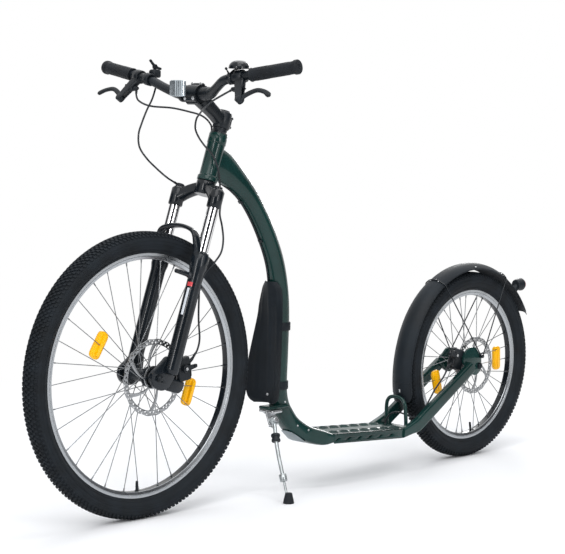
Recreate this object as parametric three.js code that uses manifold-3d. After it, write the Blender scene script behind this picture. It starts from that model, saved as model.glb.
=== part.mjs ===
// A kick bike: an adult scooter with a large front wheel, a low deck and a smaller rear wheel.
// Millimetres. +X is the way it rolls, +Y is its left and +Z is up. It leans on its left stand.
import * as THREE from 'three';
import { mergeVertices } from 'three/addons/utils/BufferGeometryUtils.js';
import Module from 'manifold-3d';

const wasm = await Module();
wasm.setup();
const radians = THREE.MathUtils.degToRad;

// Driving sizes of the whole bike
const wheelbase = 1205;
const headAngle = radians(71.5);
const leanAngle = radians(1.54);
const frontTyreRadius = 335;
const rearTyreRadius = 258;
const forkOffset = 48;
const axleToCrown = 486.5;
const gap = 0.3;
const overrun = 2;
const weld = 0.001;

// Tyres, rims, hubs and rotors
const tyreWidth = 54;
const tyreWall = 4;
const tyreHeight = 50;
const rimWidth = 24;
const rimDepth = 14.5;
const rimWall = 2.4;
const beadDepth = 6;
const hubShellRadius = 15;
const hubFlangeRadius = 24;
const hubFlangeWidth = 6;
const frontFlangeSpacing = 54;
const rearFlangeSpacing = 46;
const axleRadius = 5;
const spokeCount = 32;
const spokeRadius = 1.1;
const spokeSides = 3;
const spokeSpread = 4;
const spokeCross = radians(52);
const frontRotorRadius = 90;
const rearRotorRadius = 80;
const rotorRing = 14;
const rotorThickness = 2;
const frontRotorPlane = 41;
const rearRotorPlane = 31;
const rotorArms = 6;
const rotorCarrierRadius = 27;
const rotorBoreRadius = 17;
const frontHubDropout = 50;
const rearHubDropout = 42;
const axleNutRadius = 9;
const axleNutWidth = 8;
const valveRadius = 3.2;
const valveLength = 24;
const frontValveAngle = radians(-88);
const rearValveAngle = radians(-99.6);
const wheelSegments = 32;

// Wheel reflectors
const reflectorLength = 67;
const reflectorHeight = 32;
const reflectorThickness = 13;
const reflectorPlane = 4;
const reflectorClip = 8;
const frontReflectorOrbit = 155.5;
const rearReflectorOrbit = 135;

// Head tube and headset
const steererRadius = 14.3;
const steererLength = 176;
const headTubeLength = 117;
const headTubeRadius = 21.5;
const headCupRadius = 24.5;
const headCupUpperRadius = 22.5;
const headCupLower = 13;
const headCupUpper = 24;
const spacerRadius = 17.5;
const spacerLength = 14;

// Fork
const crownHeight = 34;
const crownHubRadius = 23;
const stanchionRadius = 14;
const stanchionHalfSpan = 66;
const stanchionOffset = 19.5;
const stanchionLength = 302;
const crownClampRadius = 17.2;
const crownClampChamfer = 6;
const crownClampTop = 22;
const crownClampHeight = 46;
const stanchionTopWall = 4;
const lowerTop = 182;
const lowerRadius = 17.5;
const lowerHeadRadius = 20.5;
const lowerHeadHeight = 36;
const lowerEnd = 462;
const lowerBore = 382;
const forkTravel = 50;
const archReach = 50;
const archTop = 124;
const archDepth = 10;
const archHeight = 5;
const dropoutThickness = 12;
const dropoutSize = 38;
const brakeBossLength = 49;
const brakeBossRadius = 6;
const knobRadius = 10.5;
const knobHeight = 7;

// Stem and bar
const stemClampHeight = 41;
const stemClampRadius = 20;
const stemReach = 103.8;
const barHeight = 182.6;
const stemBodyHeight = 35;
const stemBodyWidth = 34;
const stemBoss = 24;
const stemDrop = 4;
const barClampRadius = 15.9;
const barRadius = 11.1;
const barClampWall = 5;
const barClampWidth = 42;
const clampSplit = 1.5;
const clampBoltSpread = 25;
const barHalfSpan = 322;
const barStraight = 32;
const barKnee = 136;
const barForward = 30;
const barRise = 33.5;
const barBacksweep = radians(10.7);
const barUpsweep = radians(8.6);
const gripStart = 202;
const gripRadius = 15;
const gripFlangeRadius = 16.8;
const gripFlangeWidth = 9;
const gripCap = 6;

// Brake levers and their perches
const perchPlace = 172;
const perchLength = 22;
const perchRadius = 16;
const leverPivotPlace = 204;
const perchReach = 61;
const perchTilt = radians(-57.5);
const perchThickness = 15;
const perchKnuckleRadius = 9;
const barrelRadius = 5.5;
const barrelLength = 34;
const leverThickness = 8;
const leverSpan = 88;
const leverDrop = 20;
const leverDepth = 13;
const leverPinRadius = 3;

// Bell, front reflector and lockout remote
const bellRadius = 24.5;
const bellHeight = 18;
const bellWall = 1.6;
const bellPostRadius = 5;
const bellPlace = 168;
const bellRise = 43.5;
const bellBracketPlace = 148;
const bellBracketWidth = 10;
const bellBracketRadius = 14.5;
const strikerRadius = 4;
const strikerLength = 13;
const frontReflectorWidth = 53;
const frontReflectorHeight = 38;
const frontReflectorDepth = 9;
const frontReflectorSag = 6;
const frontReflectorPlace = -25;
const frontReflectorReach = 37;
const frontReflectorRise = 12;
const bracketPlace = -38;
const bracketWidth = 11;
const bracketWall = 4;
const remotePlace = -128;
const remoteWidth = 20;
const remoteRadius = 15;
const remoteBodyLift = 14;
const thumbLength = 30;
const thumbWidth = 8;
const thumbThickness = 6;

// Down tube, deck and scuff plate
const tubeRadius = 23.5;
const deckFront = 601;
const deckRear = 330;
const deckTailRear = 274;
const deckTop = 137;
const deckSlope = radians(3.5);
const deckHalfWidth = 62;
const deckHeight = 25;
const deckWall = 3;
const deckTailHalfWidth = 44;
const dimpleRadius = 9;
const dimpleSpacing = 39.5;
const dimpleRow = 36;
const dimpleCount = 7;
const slotCount = 6;
const slotSpacing = 41;
const slotLength = 20;
const slotHeight = 6.5;
const railPlace = 46;
const railHeight = 21;
const scuffThickness = 3;
const scuffLength = 150;
const scuffDrop = 75;
const standTabLength = 36;
const standTabHalfWidth = 18;
const standTabShift = 12;
const standTabThickness = 8;
const standTabPlace = 219;

// Rear stays and hoop
const stayWidth = 18;
const stayCentre = 56;
const stayHeight = 36.5;
const stayEndHeight = 31;
const stayKnee = 268;
const stayKneeRise = 16.2;
const rearDropoutThickness = 7;
const rearDropoutSize = 40;
const hoopRodRadius = 5.2;
const hoopHalfWidth = 34;
const hoopHeight = 76;
const hoopPlace = 290;

// Rear fender, its stays and the tail lamp
const fenderRadius = 283;
const fenderHalfWidth = 33;
const fenderCrown = 16;
const fenderWall = 2.4;
const fenderFlare = 8;
const fenderFlareStart = radians(20);
const fenderStart = radians(-16);
const fenderEnd = radians(152);
const fenderTab = 17;
const wireRadius = 1.8;
const wireStandoff = 2;
const wireEyeRadius = 5;
const frontWireAngle = radians(58.8);
const rearWireAngle = radians(119);
const eyeX = -3;
const eyeRise = 27;
const tailLampRadius = 18;
const tailLampDepth = 24;
const tailLensDepth = 8;
const tailLampAngle = radians(138);
const tailLampLift = 30;

// Front mud panel
const panelTop = 531;
const panelBottom = 228;
const panelHalfWidth = 58;
const panelWall = 2.4;
const panelFold = 20;
const panelShift = 3;
const panelRidge = 779;
const strapWidth = 20;
const strapThickness = 3;
const upperStrap = 418;
const lowerStrap = 271;

// Kickstand
const standPivotX = 803;
const standPivotY = 42;
const standPivotZ = 191;
const standFootX = 838;
const standFootY = 130;
const standFoldedX = 609;
const standFoldedY = 96;
const standFoldedZ = 114;
const standLegRadius = 5;
const standLowerRadius = 3.2;
const standFootRadius = 13.5;
const standSink = 0.22;
const standFootHeight = 26;
const standClampRadius = 9.5;
const standClampLength = 18;
const standCollarRadius = 11.5;
const standCollarLength = 20;
const standPlate = 4;
const standBoltRadius = 4;
const standEyeRadius = 11;
const standEyeThickness = 11;
const springRadius = 4.8;
const springWire = 1.5;
const springCurls = 9;

// Calipers, arms and cables
const caliperLength = 62;
const caliperDepth = 42;
const frontCaliperInner = 27;
const rearCaliperInner = 19.5;
const frontCaliperOuter = 59;
const rearCaliperOuter = 41.7;
const caliperSlot = 5;
const frontCaliperOrbit = 85;
const rearCaliperOrbit = 84;
const frontCaliperAngle = radians(172);
const rearCaliperAngle = radians(17);
const caliperCylinder = 13;
const frontArmOrbit = 85;
const rearArmOrbit = 101;
const armLength = 34;
const armHubRadius = 9;
const armThickness = 4;
const cableRadius = 2.3;
const cableSides = 8;

const frontArmPlace = radians(170);
const rearArmAngle = radians(21);
const frontArmTurn = radians(170);
const rearArmTurn = radians(14);
const strikerTilt = radians(52);
const remoteBody = 24;
const remoteBack = 18;
const thumbAngle = radians(45);
const releaseAngle = radians(194);
const kneeShare = 0.45;
const kneeBow = 6;
const collarBow = 5;
const collarShare = 0.21;
const lugShare = 0.11;
const clampShare = 0.52;
const standFlange = 7;
const cheekLift = 8.5;
const cheekWidth = 26;
const cheekHeight = 33;
const standSlide = 18;
const curlSteps = 8;
const springHeadX = 799;
const springHeadY = 15;
const springHeadZ = 206;
const springFootX = 793;
const springFootY = 20;
const springFootZ = 174;
const bossShare = 1.3;

// Colours
const green = [0.05, 0.13, 0.125];
const black = [0.03, 0.035, 0.04];
const rubber = [0.035, 0.037, 0.042];
const chrome = [0.82, 0.84, 0.86];
const silver = [0.62, 0.65, 0.67];
const grey = [0.34, 0.37, 0.39];
const amber = [0.95, 0.5, 0.03];
const red = [0.6, 0.03, 0.03];
const clear = [0.75, 0.8, 0.85];

// Small shorthands for points
const point = (x, y, z) => new THREE.Vector3(x, y, z);
const forkForward = point(Math.sin(headAngle), 0, Math.cos(headAngle));
const forkUp = point(-Math.cos(headAngle), 0, Math.sin(headAngle));
const frontAxle = point(wheelbase, 0, frontTyreRadius);
const rearAxlePlace = point(0, 0, rearTyreRadius);
const crownRace = frontAxle.clone().addScaledVector(forkForward, -forkOffset).addScaledVector(forkUp, axleToCrown);

// A closed mesh as a solid: vertices merged, flat triangles dropped and faces turned outward
function solid(geometry) {
  const bare = geometry.clone();
  for (const name of Object.keys(bare.attributes)) {
    if (name !== 'position') bare.deleteAttribute(name);
  }
  const merged = mergeVertices(bare, weld);
  const vertices = new Float32Array(merged.attributes.position.array);
  const corner = (i) => point(...vertices.subarray(3 * i, 3 * i + 3));
  const triangles = [];
  let volume = 0;
  for (let i = 0; i < merged.index.count; i += 3) {
    const [a, b, c] = merged.index.array.slice(i, i + 3);
    if (a === b || b === c || c === a) continue;
    triangles.push(a, b, c);
    volume += corner(a).dot(corner(b).cross(corner(c)));
  }
  if (volume < 0) triangles.reverse();
  const mesh = new wasm.Mesh({ numProp: 3, vertProperties: vertices, triVerts: new Uint32Array(triangles) });
  return new wasm.Manifold(mesh);
}

function geometryOf(body) {
  const mesh = body.getMesh();
  const geometry = new THREE.BufferGeometry();
  geometry.setAttribute('position', new THREE.BufferAttribute(new Float32Array(mesh.vertProperties), 3));
  geometry.setIndex(new THREE.BufferAttribute(new Uint32Array(mesh.triVerts), 1));
  const shaded = geometry.toNonIndexed();
  shaded.computeVertexNormals();
  return shaded;
}

const join = (...bodies) => bodies.reduce((whole, body) => whole.add(body));
const cut = (body, ...tools) => tools.reduce((rest, tool) => rest.subtract(tool), body);

// A body moved by a matrix, or mirrored to the other side of the bike
function moved(body, matrix) {
  const copy = geometryOf(body);
  copy.applyMatrix4(matrix);
  return solid(copy);
}
const mirror = new THREE.Matrix4().makeScale(1, -1, 1);
const onSide = (body, side) => (side > 0 ? body : moved(body, mirror));
const shift = (body, x, y, z) => moved(body, new THREE.Matrix4().makeTranslation(x, y, z));

// A matrix that takes local X, Y, Z to the given directions at a place
function seat(place, xDirection, zDirection) {
  const z = zDirection.clone().normalize();
  const y = z.clone().cross(xDirection).normalize();
  const x = y.clone().cross(z);
  return new THREE.Matrix4().makeBasis(x, y, z).setPosition(place);
}
const axisX = point(1, 0, 0);
const axisY = point(0, 1, 0);
const axisZ = point(0, 0, 1);

function box(width, depth, height) {
  return solid(new THREE.BoxGeometry(width, depth, height));
}

// A straight round bar from one place to another
function rod(from, to, radius, sides = 16, endRadius = radius) {
  const span = to.clone().sub(from);
  const cylinder = new THREE.CylinderGeometry(endRadius, radius, span.length(), sides);
  cylinder.rotateX(Math.PI / 2);
  const side = Math.abs(span.y) < span.length() / Math.SQRT2 ? axisY : axisX;
  cylinder.applyMatrix4(seat(from.clone().lerp(to, 1 / 2), side.clone().cross(span), span));
  return solid(cylinder);
}

// A profile of [radius, height] turned about Z
function turned(profile, segments) {
  const points = profile.map(([radius, height]) => new THREE.Vector2(radius, height));
  return solid(new THREE.LatheGeometry(points, segments).rotateX(Math.PI / 2));
}

// The same about the wheel's axle, Y
const wheelTurned = (profile, segments) =>
  moved(turned(profile, segments), new THREE.Matrix4().makeRotationX(-Math.PI / 2));

// A tube of a few sides along a smooth curve through points
function tube(points, radius, sides, steps) {
  const section = new THREE.Shape();
  for (let i = 0; i < sides; i++) {
    const angle = (2 * Math.PI * i) / sides;
    const place = [radius * Math.cos(angle), radius * Math.sin(angle)];
    if (i === 0) section.moveTo(...place);
    else section.lineTo(...place);
  }
  const extrudePath = new THREE.CatmullRomCurve3(points, false, 'centripetal');
  return solid(new THREE.ExtrudeGeometry(section, { steps, extrudePath, bevelEnabled: false }));
}

// An outline in X and Z, with any holes, given a thickness along Y about y = 0
function plate(outline, thickness, holes = []) {
  const shape = new THREE.Shape(outline.map(([x, z]) => new THREE.Vector2(x, z)));
  shape.holes = holes.map((hole) => new THREE.Path(hole.map(([x, z]) => new THREE.Vector2(x, z))));
  const geometry = new THREE.ExtrudeGeometry(shape, { depth: thickness, bevelEnabled: false });
  geometry.translate(0, 0, -thickness / 2);
  return solid(geometry.rotateX(Math.PI / 2));
}

// A skin through a row of rings with the same number of points, closed by a cap at each end
function loft(rings) {
  const count = rings[0].length;
  const positions = rings.flat().flatMap((p) => [p.x, p.y, p.z]);
  const faces = [];
  for (let k = 0; k < rings.length - 1; k++) {
    for (let i = 0; i < count; i++) {
      const a = k * count + i;
      const b = k * count + ((i + 1) % count);
      faces.push(a, b, b + count, a, b + count, a + count);
    }
  }
  capFaces(rings[0]).forEach(([a, b, c]) => faces.push(a, c, b));
  const last = (rings.length - 1) * count;
  capFaces(rings.at(-1)).forEach(([a, b, c]) => faces.push(last + a, last + b, last + c));
  const geometry = new THREE.BufferGeometry();
  geometry.setAttribute('position', new THREE.Float32BufferAttribute(positions, 3));
  geometry.setIndex(faces);
  return solid(geometry);
}

// Triangles over one ring, seen along its own normal
function capFaces(ring) {
  const normal = point(0, 0, 0);
  ring.forEach((p, i) => normal.add(p.clone().cross(ring[(i + 1) % ring.length])));
  const across = ring[1].clone().sub(ring[0]).normalize();
  const up = normal.normalize().clone().cross(across);
  const flat = ring.map((p) => new THREE.Vector2(p.dot(across), p.dot(up)));
  return THREE.ShapeUtils.triangulateShape(flat, []);
}

// A rounded section: squareness 2 is an ellipse and higher values are boxier
function roundSection(centre, across, up, halfWidth, halfHeight, squareness, sides) {
  const ring = [];
  for (let i = 0; i < sides; i++) {
    const angle = (2 * Math.PI * (i + 1 / 2)) / sides;
    const c = Math.sign(Math.cos(angle)) * Math.abs(Math.cos(angle)) ** (2 / squareness);
    const s = Math.sign(Math.sin(angle)) * Math.abs(Math.sin(angle)) ** (2 / squareness);
    ring.push(centre.clone().addScaledVector(across, halfWidth * c).addScaledVector(up, halfHeight * s));
  }
  return ring;
}

// A skin through rounded sections: each row is a centre, a half width along across and a half height
function sweep(rows, across, squareness, sides) {
  const rings = rows.map(([centre, halfWidth, halfHeight], i) => {
    const before = rows[Math.max(i - 1, 0)][0];
    const after = rows[Math.min(i + 1, rows.length - 1)][0];
    const along = after.clone().sub(before).normalize();
    const up = along.clone().cross(across).normalize();
    const side = up.clone().cross(along);
    return roundSection(centre, side, up, halfWidth, halfHeight, squareness, sides);
  });
  return loft(rings);
}

// Groups: the whole bike leans on its stand, and the fork has its own frame along the steering axis
const model = new THREE.Group();
const bike = new THREE.Group();
const fork = new THREE.Group();
const frontWheel = new THREE.Group();
const rearWheel = new THREE.Group();
model.add(bike);
bike.add(fork, frontWheel, rearWheel);
fork.position.copy(crownRace);
fork.rotation.y = headAngle - Math.PI / 2;
frontWheel.position.copy(frontAxle);
rearWheel.position.copy(rearAxlePlace);

// One named mesh in its own colour
function add(group, name, body, [r, g, b], roughness, metalness) {
  const material = new THREE.MeshStandardMaterial({ color: new THREE.Color(r, g, b), roughness, metalness });
  const mesh = new THREE.Mesh(geometryOf(body), material);
  mesh.name = name;
  group.add(mesh);
}

// A place in the fork's own frame, given in the bike's frame
const fromFork = (x, y, z) =>
  crownRace.clone().addScaledVector(forkForward, x).addScaledVector(axisY, y).addScaledVector(forkUp, z);
const forkMatrix = seat(crownRace, forkForward, forkUp);

// Tyre: a closed C section turned about the axle, open to the rim
function tyre(outerRadius) {
  const half = tyreWidth / 2;
  const bead = rimWidth / 2 - rimWall - gap;
  const beadRadius = outerRadius - tyreHeight + gap;
  const height = outerRadius - beadRadius;
  const innerHeight = height - tyreWall;
  const outsideShares = [[0.42, 1], [0.88, 0.9], [1, 0.55], [0.86, 0.19]];
  const insideShares = [[0.95, 0.4], [0.75, 0.92]];
  const outside = outsideShares.map(([w, h]) => [beadRadius + h * height, w * half]);
  const lip = [[beadRadius, bead], [beadRadius - beadDepth, bead], [beadRadius - beadDepth, bead - tyreWall]];
  const inside = insideShares.map(([w, h]) => [beadRadius + h * innerHeight, w * (half - tyreWall)]);
  const left = [...outside, ...lip, ...inside];
  const right = left.slice().reverse().map(([r, y]) => [r, -y]);
  return wheelTurned([...left, ...right, left[0]], wheelSegments);
}

// Rim: a channel that holds the tyre's beads, with the valve through its base
function rim(tyreOuterRadius, valveAngle) {
  const flange = tyreOuterRadius - tyreHeight;
  const base = flange - rimDepth;
  const half = rimWidth / 2;
  const well = flange - beadDepth - 2 * gap;
  const profile = [
    [flange, half], [flange, half - rimWall], [well, half - rimWall], [well, rimWall - half],
    [flange, rimWall - half], [flange, -half], [base, -half * 0.7], [base, half * 0.7], [flange, half],
  ];
  const direction = point(Math.cos(valveAngle), 0, Math.sin(valveAngle));
  const from = direction.clone().multiplyScalar(base + rimWall);
  const valve = rod(from, direction.clone().multiplyScalar(base - valveLength), valveRadius, 6);
  return join(wheelTurned(profile, wheelSegments), valve);
}

// The two ends of every spoke, from the hub's flanges to the rim
function spokeLines(tyreOuterRadius, flangeSpacing) {
  const rimInner = tyreOuterRadius - tyreHeight - rimDepth - gap;
  const hubPlace = hubFlangeRadius - 3 * spokeRadius;
  return Array.from({ length: spokeCount }, (_, i) => {
    const side = i % 2 ? 1 : -1;
    const lead = i % 4 < 2 ? 1 : -1;
    const rimAngle = (2 * Math.PI * i) / spokeCount;
    const hubAngle = rimAngle + lead * spokeCross;
    const flangePlane = flangeSpacing / 2 + (lead * hubFlangeWidth) / 5;
    return [
      point(hubPlace * Math.cos(hubAngle), side * flangePlane, hubPlace * Math.sin(hubAngle)),
      point(rimInner * Math.cos(rimAngle), side * spokeSpread, rimInner * Math.sin(rimAngle)),
    ];
  });
}

// Hub: shell, two flanges, the boss that carries the rotor, and the laced spokes
function hub(tyreOuterRadius, flangeSpacing, rotorPlane, half) {
  const flangeEnd = flangeSpacing / 2 + hubFlangeWidth / 2;
  const flangeStart = flangeEnd - hubFlangeWidth;
  const bore = axleRadius + gap;
  const boss = rotorBoreRadius - gap;
  const rotorFace = rotorPlane - rotorThickness / 2 - gap;
  const profile = [
    [bore, -half], [bore * 2, -half], [bore * 2, -flangeEnd - hubFlangeWidth], [hubShellRadius, -flangeEnd],
    [hubFlangeRadius, -flangeEnd], [hubFlangeRadius, -flangeStart], [hubShellRadius, -flangeStart],
    [hubShellRadius, flangeStart], [hubFlangeRadius, flangeStart], [hubFlangeRadius, rotorFace],
    [boss, rotorFace], [boss, half], [bore, half], [bore, -half],
  ];
  const spokes = spokeLines(tyreOuterRadius, flangeSpacing).map(([from, to]) => rod(from, to, spokeRadius, spokeSides));
  return join(wheelTurned(profile, wheelSegments / 2), ...spokes);
}

// Rotor: a braking ring on swept arms
function rotor(rotorRadius, rotorPlane) {
  const at = (radius, angle) => [radius * Math.cos(angle), radius * Math.sin(angle)];
  const circle = (radius, count) =>
    Array.from({ length: count }, (_, i) => at(radius, (2 * Math.PI * i) / count));
  const pitch = (2 * Math.PI) / rotorArms;
  const ring = rotorRadius - rotorRing;
  const middle = (rotorCarrierRadius + ring) / 2;
  const armShare = 0.14;
  const sweepShare = 0.5;
  const windows = Array.from({ length: rotorArms }, (_, i) => {
    const start = (i + armShare) * pitch;
    const end = (i + 1 - armShare) * pitch;
    const sweep = sweepShare * pitch;
    const outer = [0, 1 / 3, 2 / 3, 1].map((s) => at(ring, start + sweep + s * (end - start)));
    const inner = [1, 1 / 2, 0].map((s) => at(rotorCarrierRadius, start + s * (end - start)));
    return [...outer, at(middle, end + sweep * 0.7), ...inner, at(middle, start + sweep * 0.7)].reverse();
  });
  const bore = circle(rotorBoreRadius, wheelSegments / 2).reverse();
  return shift(plate(circle(rotorRadius, wheelSegments), rotorThickness, [bore, ...windows]), 0, rotorPlane, 0);
}

// Amber reflector between the spokes, with a clip over the left ones, grooved where it crosses them
function wheelReflector(tyreOuterRadius, flangeSpacing, orbit, angle) {
  const corner = reflectorHeight / 3;
  const halfLong = reflectorLength / 2;
  const halfHigh = reflectorHeight / 2;
  const outline = [
    [-halfHigh, corner - halfLong], [corner - halfHigh, -halfLong], [halfHigh - corner, -halfLong],
    [halfHigh, corner - halfLong], [halfHigh, halfLong - corner], [halfHigh - corner, halfLong],
    [corner - halfHigh, halfLong], [-halfHigh, halfLong - corner],
  ];
  const rimInner = tyreOuterRadius - tyreHeight - rimDepth;
  const flange = flangeSpacing / 2;
  const outShare = (orbit - hubFlangeRadius) / (rimInner - hubFlangeRadius);
  const spokePlane = flange + (spokeSpread - flange) * outShare;
  const lens = shift(plate(outline, reflectorThickness), orbit, reflectorPlane, 0);
  const clipEnd = spokePlane + reflectorClip / 3;
  const clip = shift(box(reflectorClip, clipEnd - reflectorPlane, reflectorLength * 0.8), orbit,
    (clipEnd + reflectorPlane) / 2, 0);
  const block = join(lens, clip);
  const grooves = spokeLines(tyreOuterRadius, flangeSpacing)
    .filter(([from]) => from.y > 0)
    .map(([from, to]) => rod(from, to, spokeRadius + 2 * gap, spokeSides));
  return cut(moved(block, new THREE.Matrix4().makeRotationY(-angle)), ...grooves);
}

// Axle with a domed nut at each end
function axle(halfSpan) {
  const shoulder = [[0, axleNutWidth], [axleNutRadius * 0.7, axleNutWidth], [axleNutRadius, axleNutWidth / 2],
    [axleNutRadius, 0], [axleRadius, 0]];
  const left = shoulder.map(([r, y]) => [r, halfSpan + y]);
  const right = shoulder.map(([r, y]) => [r, -halfSpan - y]).reverse();
  return wheelTurned([...right.reverse(), ...left.reverse()], 12);
}

for (const [group, label, radius, valve, spacing, disc, plane, hubEnd, orbit, angles] of [
  [frontWheel, 'front', frontTyreRadius, frontValveAngle, frontFlangeSpacing, frontRotorRadius, frontRotorPlane,
    frontHubDropout, frontReflectorOrbit, [radians(31.5), radians(199.5)]],
  [rearWheel, 'rear', rearTyreRadius, rearValveAngle, rearFlangeSpacing, rearRotorRadius, rearRotorPlane,
    rearHubDropout, rearReflectorOrbit, [radians(-16.5), radians(177.5)]],
]) {
  add(group, `${label}_tyre`, tyre(radius), rubber, 0.85, 0);
  add(group, `${label}_rim`, rim(radius, valve), silver, 0.3, 1);
  add(group, `${label}_hub`, hub(radius, spacing, plane, hubEnd), black, 0.4, 0.6);
  add(group, `${label}_rotor`, rotor(disc, plane), grey, 0.3, 1);
  angles.forEach((angle, i) => {
    const reflector = wheelReflector(radius, spacing, orbit, angle);
    add(group, `${label}_wheel_reflector_${i + 1}`, reflector, amber, 0.3, 0);
  });
}
const frontDropoutPlane = frontHubDropout + gap;
const rearDropoutPlane = rearHubDropout + gap;
add(frontWheel, 'front_axle', axle(frontDropoutPlane + dropoutThickness + gap), grey, 0.4, 0.9);
add(rearWheel, 'rear_axle', axle(rearDropoutPlane + rearDropoutThickness + gap), grey, 0.4, 0.9);

// Head tube, in the fork's frame
function headTubeProfile(inner, extra) {
  const start = gap;
  const end = gap + headTubeLength;
  const flare = headCupRadius - headTubeRadius;
  return [
    [inner, start], [headCupRadius + extra, start], [headCupRadius + extra, start + headCupLower - flare],
    [headTubeRadius + extra, start + headCupLower], [headTubeRadius + extra, end - headCupUpper],
    [headCupUpperRadius + extra, end - headCupUpper + flare], [headCupUpperRadius + extra, end], [inner, end],
    [inner, start],
  ];
}
add(fork, 'head_tube', turned(headTubeProfile(steererRadius + gap, 0), 20), green, 0.25, 0.3);

// Down tube rows: x and z as shares of the way from the deck to the head tube, the half depth as a share
// of the tube's radius, the half width as a share of it, how far it has spread to the deck's width, and
// how boxy it is
const deckAlong = point(Math.cos(deckSlope), 0, Math.sin(deckSlope));
const deckUp = point(-Math.sin(deckSlope), 0, Math.cos(deckSlope));
const tubeFoot = point(deckFront, 0, deckTop).addScaledVector(deckAlong, gap).addScaledVector(deckUp, -deckHeight / 2);
const tubeHead = fromFork(0, 0, headTubeLength / 2);
const tubeRowShares = [
  [0.985, 0.985, 1.75, 0.78, 0, 2],
  [0.9, 0.965, 1.6, 0.85, 0, 2],
  [0.8, 0.925, 1.3, 0.93, 0, 2],
  [0.7, 0.875, 1.1, 1, 0, 2],
  [0.605, 0.81, 1.02, 1, 0, 2],
  [0.513, 0.73, 1, 1, 0, 2],
  [0.436, 0.64, 1, 1, 0, 2],
  [0.392, 0.545, 1, 1, 0, 2],
  [0.376, 0.45, 1, 1, 0, 2],
  [0.38, 0.32, 1, 1, 0, 2],
  [0.386, 0.2, 1, 1.02, 0, 2],
  [0.3675, 0.137, 1.06, 1, 0, 2.1],
  [0.3185, 0.0955, 0.97, 1, 0.015, 2.3],
  [0.262, 0.0585, 0.9, 1, 0.12, 2.8],
  [0.17, 0.0235, 0.9, 1, 0.38, 3.6],
  [0.07, 0.0045, 0.84, 1, 0.86, 5],
  [0, 0, deckHeight / tubeRadius / 2, 1, 1, 6],
];
function tubeFrames() {
  const centres = tubeRowShares.map(([x, z]) =>
    point(tubeFoot.x + x * (tubeHead.x - tubeFoot.x), 0, tubeFoot.z + z * (tubeHead.z - tubeFoot.z)));
  return tubeRowShares.map(([, , depth, width, spread, squareness], i) => {
    const before = centres[Math.max(i - 1, 0)];
    const after = centres[Math.min(i + 1, centres.length - 1)];
    const outward = after.clone().sub(before).normalize().cross(axisY);
    if (i === centres.length - 1) outward.copy(deckUp).negate();
    const halfWidth = width * tubeRadius * (1 - spread) + deckHalfWidth * spread;
    return { centre: centres[i], outward, halfWidth, halfDepth: depth * tubeRadius, squareness };
  });
}
const frames = tubeFrames();

// The down tube's skin, made larger all round by a clearance
function tubeSkin(extra) {
  return loft(frames.map(({ centre, outward, halfWidth, halfDepth, squareness }) =>
    roundSection(centre, axisY, outward, halfWidth + extra, halfDepth + extra, squareness, 16)));
}

// A place just off the tube's front, a little to one side
function frontOfTube(row, across, lift) {
  const { centre, outward, halfWidth, halfDepth, squareness } = frames[row];
  const depth = halfDepth * (1 - Math.abs(across / halfWidth) ** squareness) ** (1 / squareness);
  return centre.clone().addScaledVector(axisY, across).addScaledVector(outward, depth + lift);
}

const cableLift = cableRadius + 2 * gap;

// Cable routes, from the end at the handlebar to the other end, as shares of the wheelbase
const frontBrakeRouteShares = [
  [0.8996, 0.1369, 0.8282], [0.8921, 0.0996, 0.8166], [0.8822, 0.0622, 0.805], [0.8689, 0.0266, 0.7917],
  [0.8498, -0.0066, 0.7801], [0.8456, -0.0199, 0.7701], [0.8498, -0.0183, 0.7527],
  [0.8531, -0.005, 0.7353], [0.8498, 0.01, 0.7178], [0.8423, 0.0216, 0.7029], [0.8332, 0.0274, 0.6813],
  [0.829, 0.0307, 0.6556], [0.8282, 0.0324, 0.634], [0.8332, 0.0398, 0.6075], [0.8448, 0.0498, 0.5859],
  [0.8448, 0.0564, 0.5643], [0.8448, 0.0606, 0.5369], [0.8548, 0.0656, 0.5137], [0.8714, 0.0656, 0.4954],
  [0.8813, 0.0515, 0.4755], [0.8871, 0.0415, 0.4498], [0.8863, 0.0382, 0.4199], [0.8855, 0.0373, 0.3809],
  [0.8846, 0.0398, 0.3419], [0.8938, 0.0432, 0.3228], [0.9054, 0.044, 0.3095],
];
const lockoutRouteShares = [
  [0.873, -0.1062, 0.8407], [0.8772, -0.1062, 0.8282], [0.8855, -0.1062, 0.8075],
  [0.9012, -0.1037, 0.7859], [0.917, -0.0996, 0.7618], [0.9295, -0.0954, 0.7386],
  [0.932, -0.0896, 0.7137], [0.9195, -0.083, 0.6921], [0.9004, -0.0747, 0.6722],
  [0.8805, -0.0647, 0.6539], [0.8581, -0.0561, 0.6398],
];
const barRouteShares = [
  [0.8996, -0.1369, 0.8282], [0.9012, -0.1361, 0.8166], [0.8996, -0.1328, 0.8058],
  [0.8929, -0.1212, 0.7975], [0.883, -0.1087, 0.7934], [0.8531, -0.083, 0.7909],
  [0.8274, -0.0614, 0.7842], [0.8108, -0.0448, 0.7776], [0.8017, -0.0349, 0.7685],
  [0.7967, -0.0282, 0.756], [0.7992, -0.0257, 0.7386], [0.8008, -0.0257, 0.7154],
  [0.8008, -0.0257, 0.6929], [0.7975, -0.0241, 0.6689], [0.7925, -0.0116, 0.6481],
];
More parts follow.
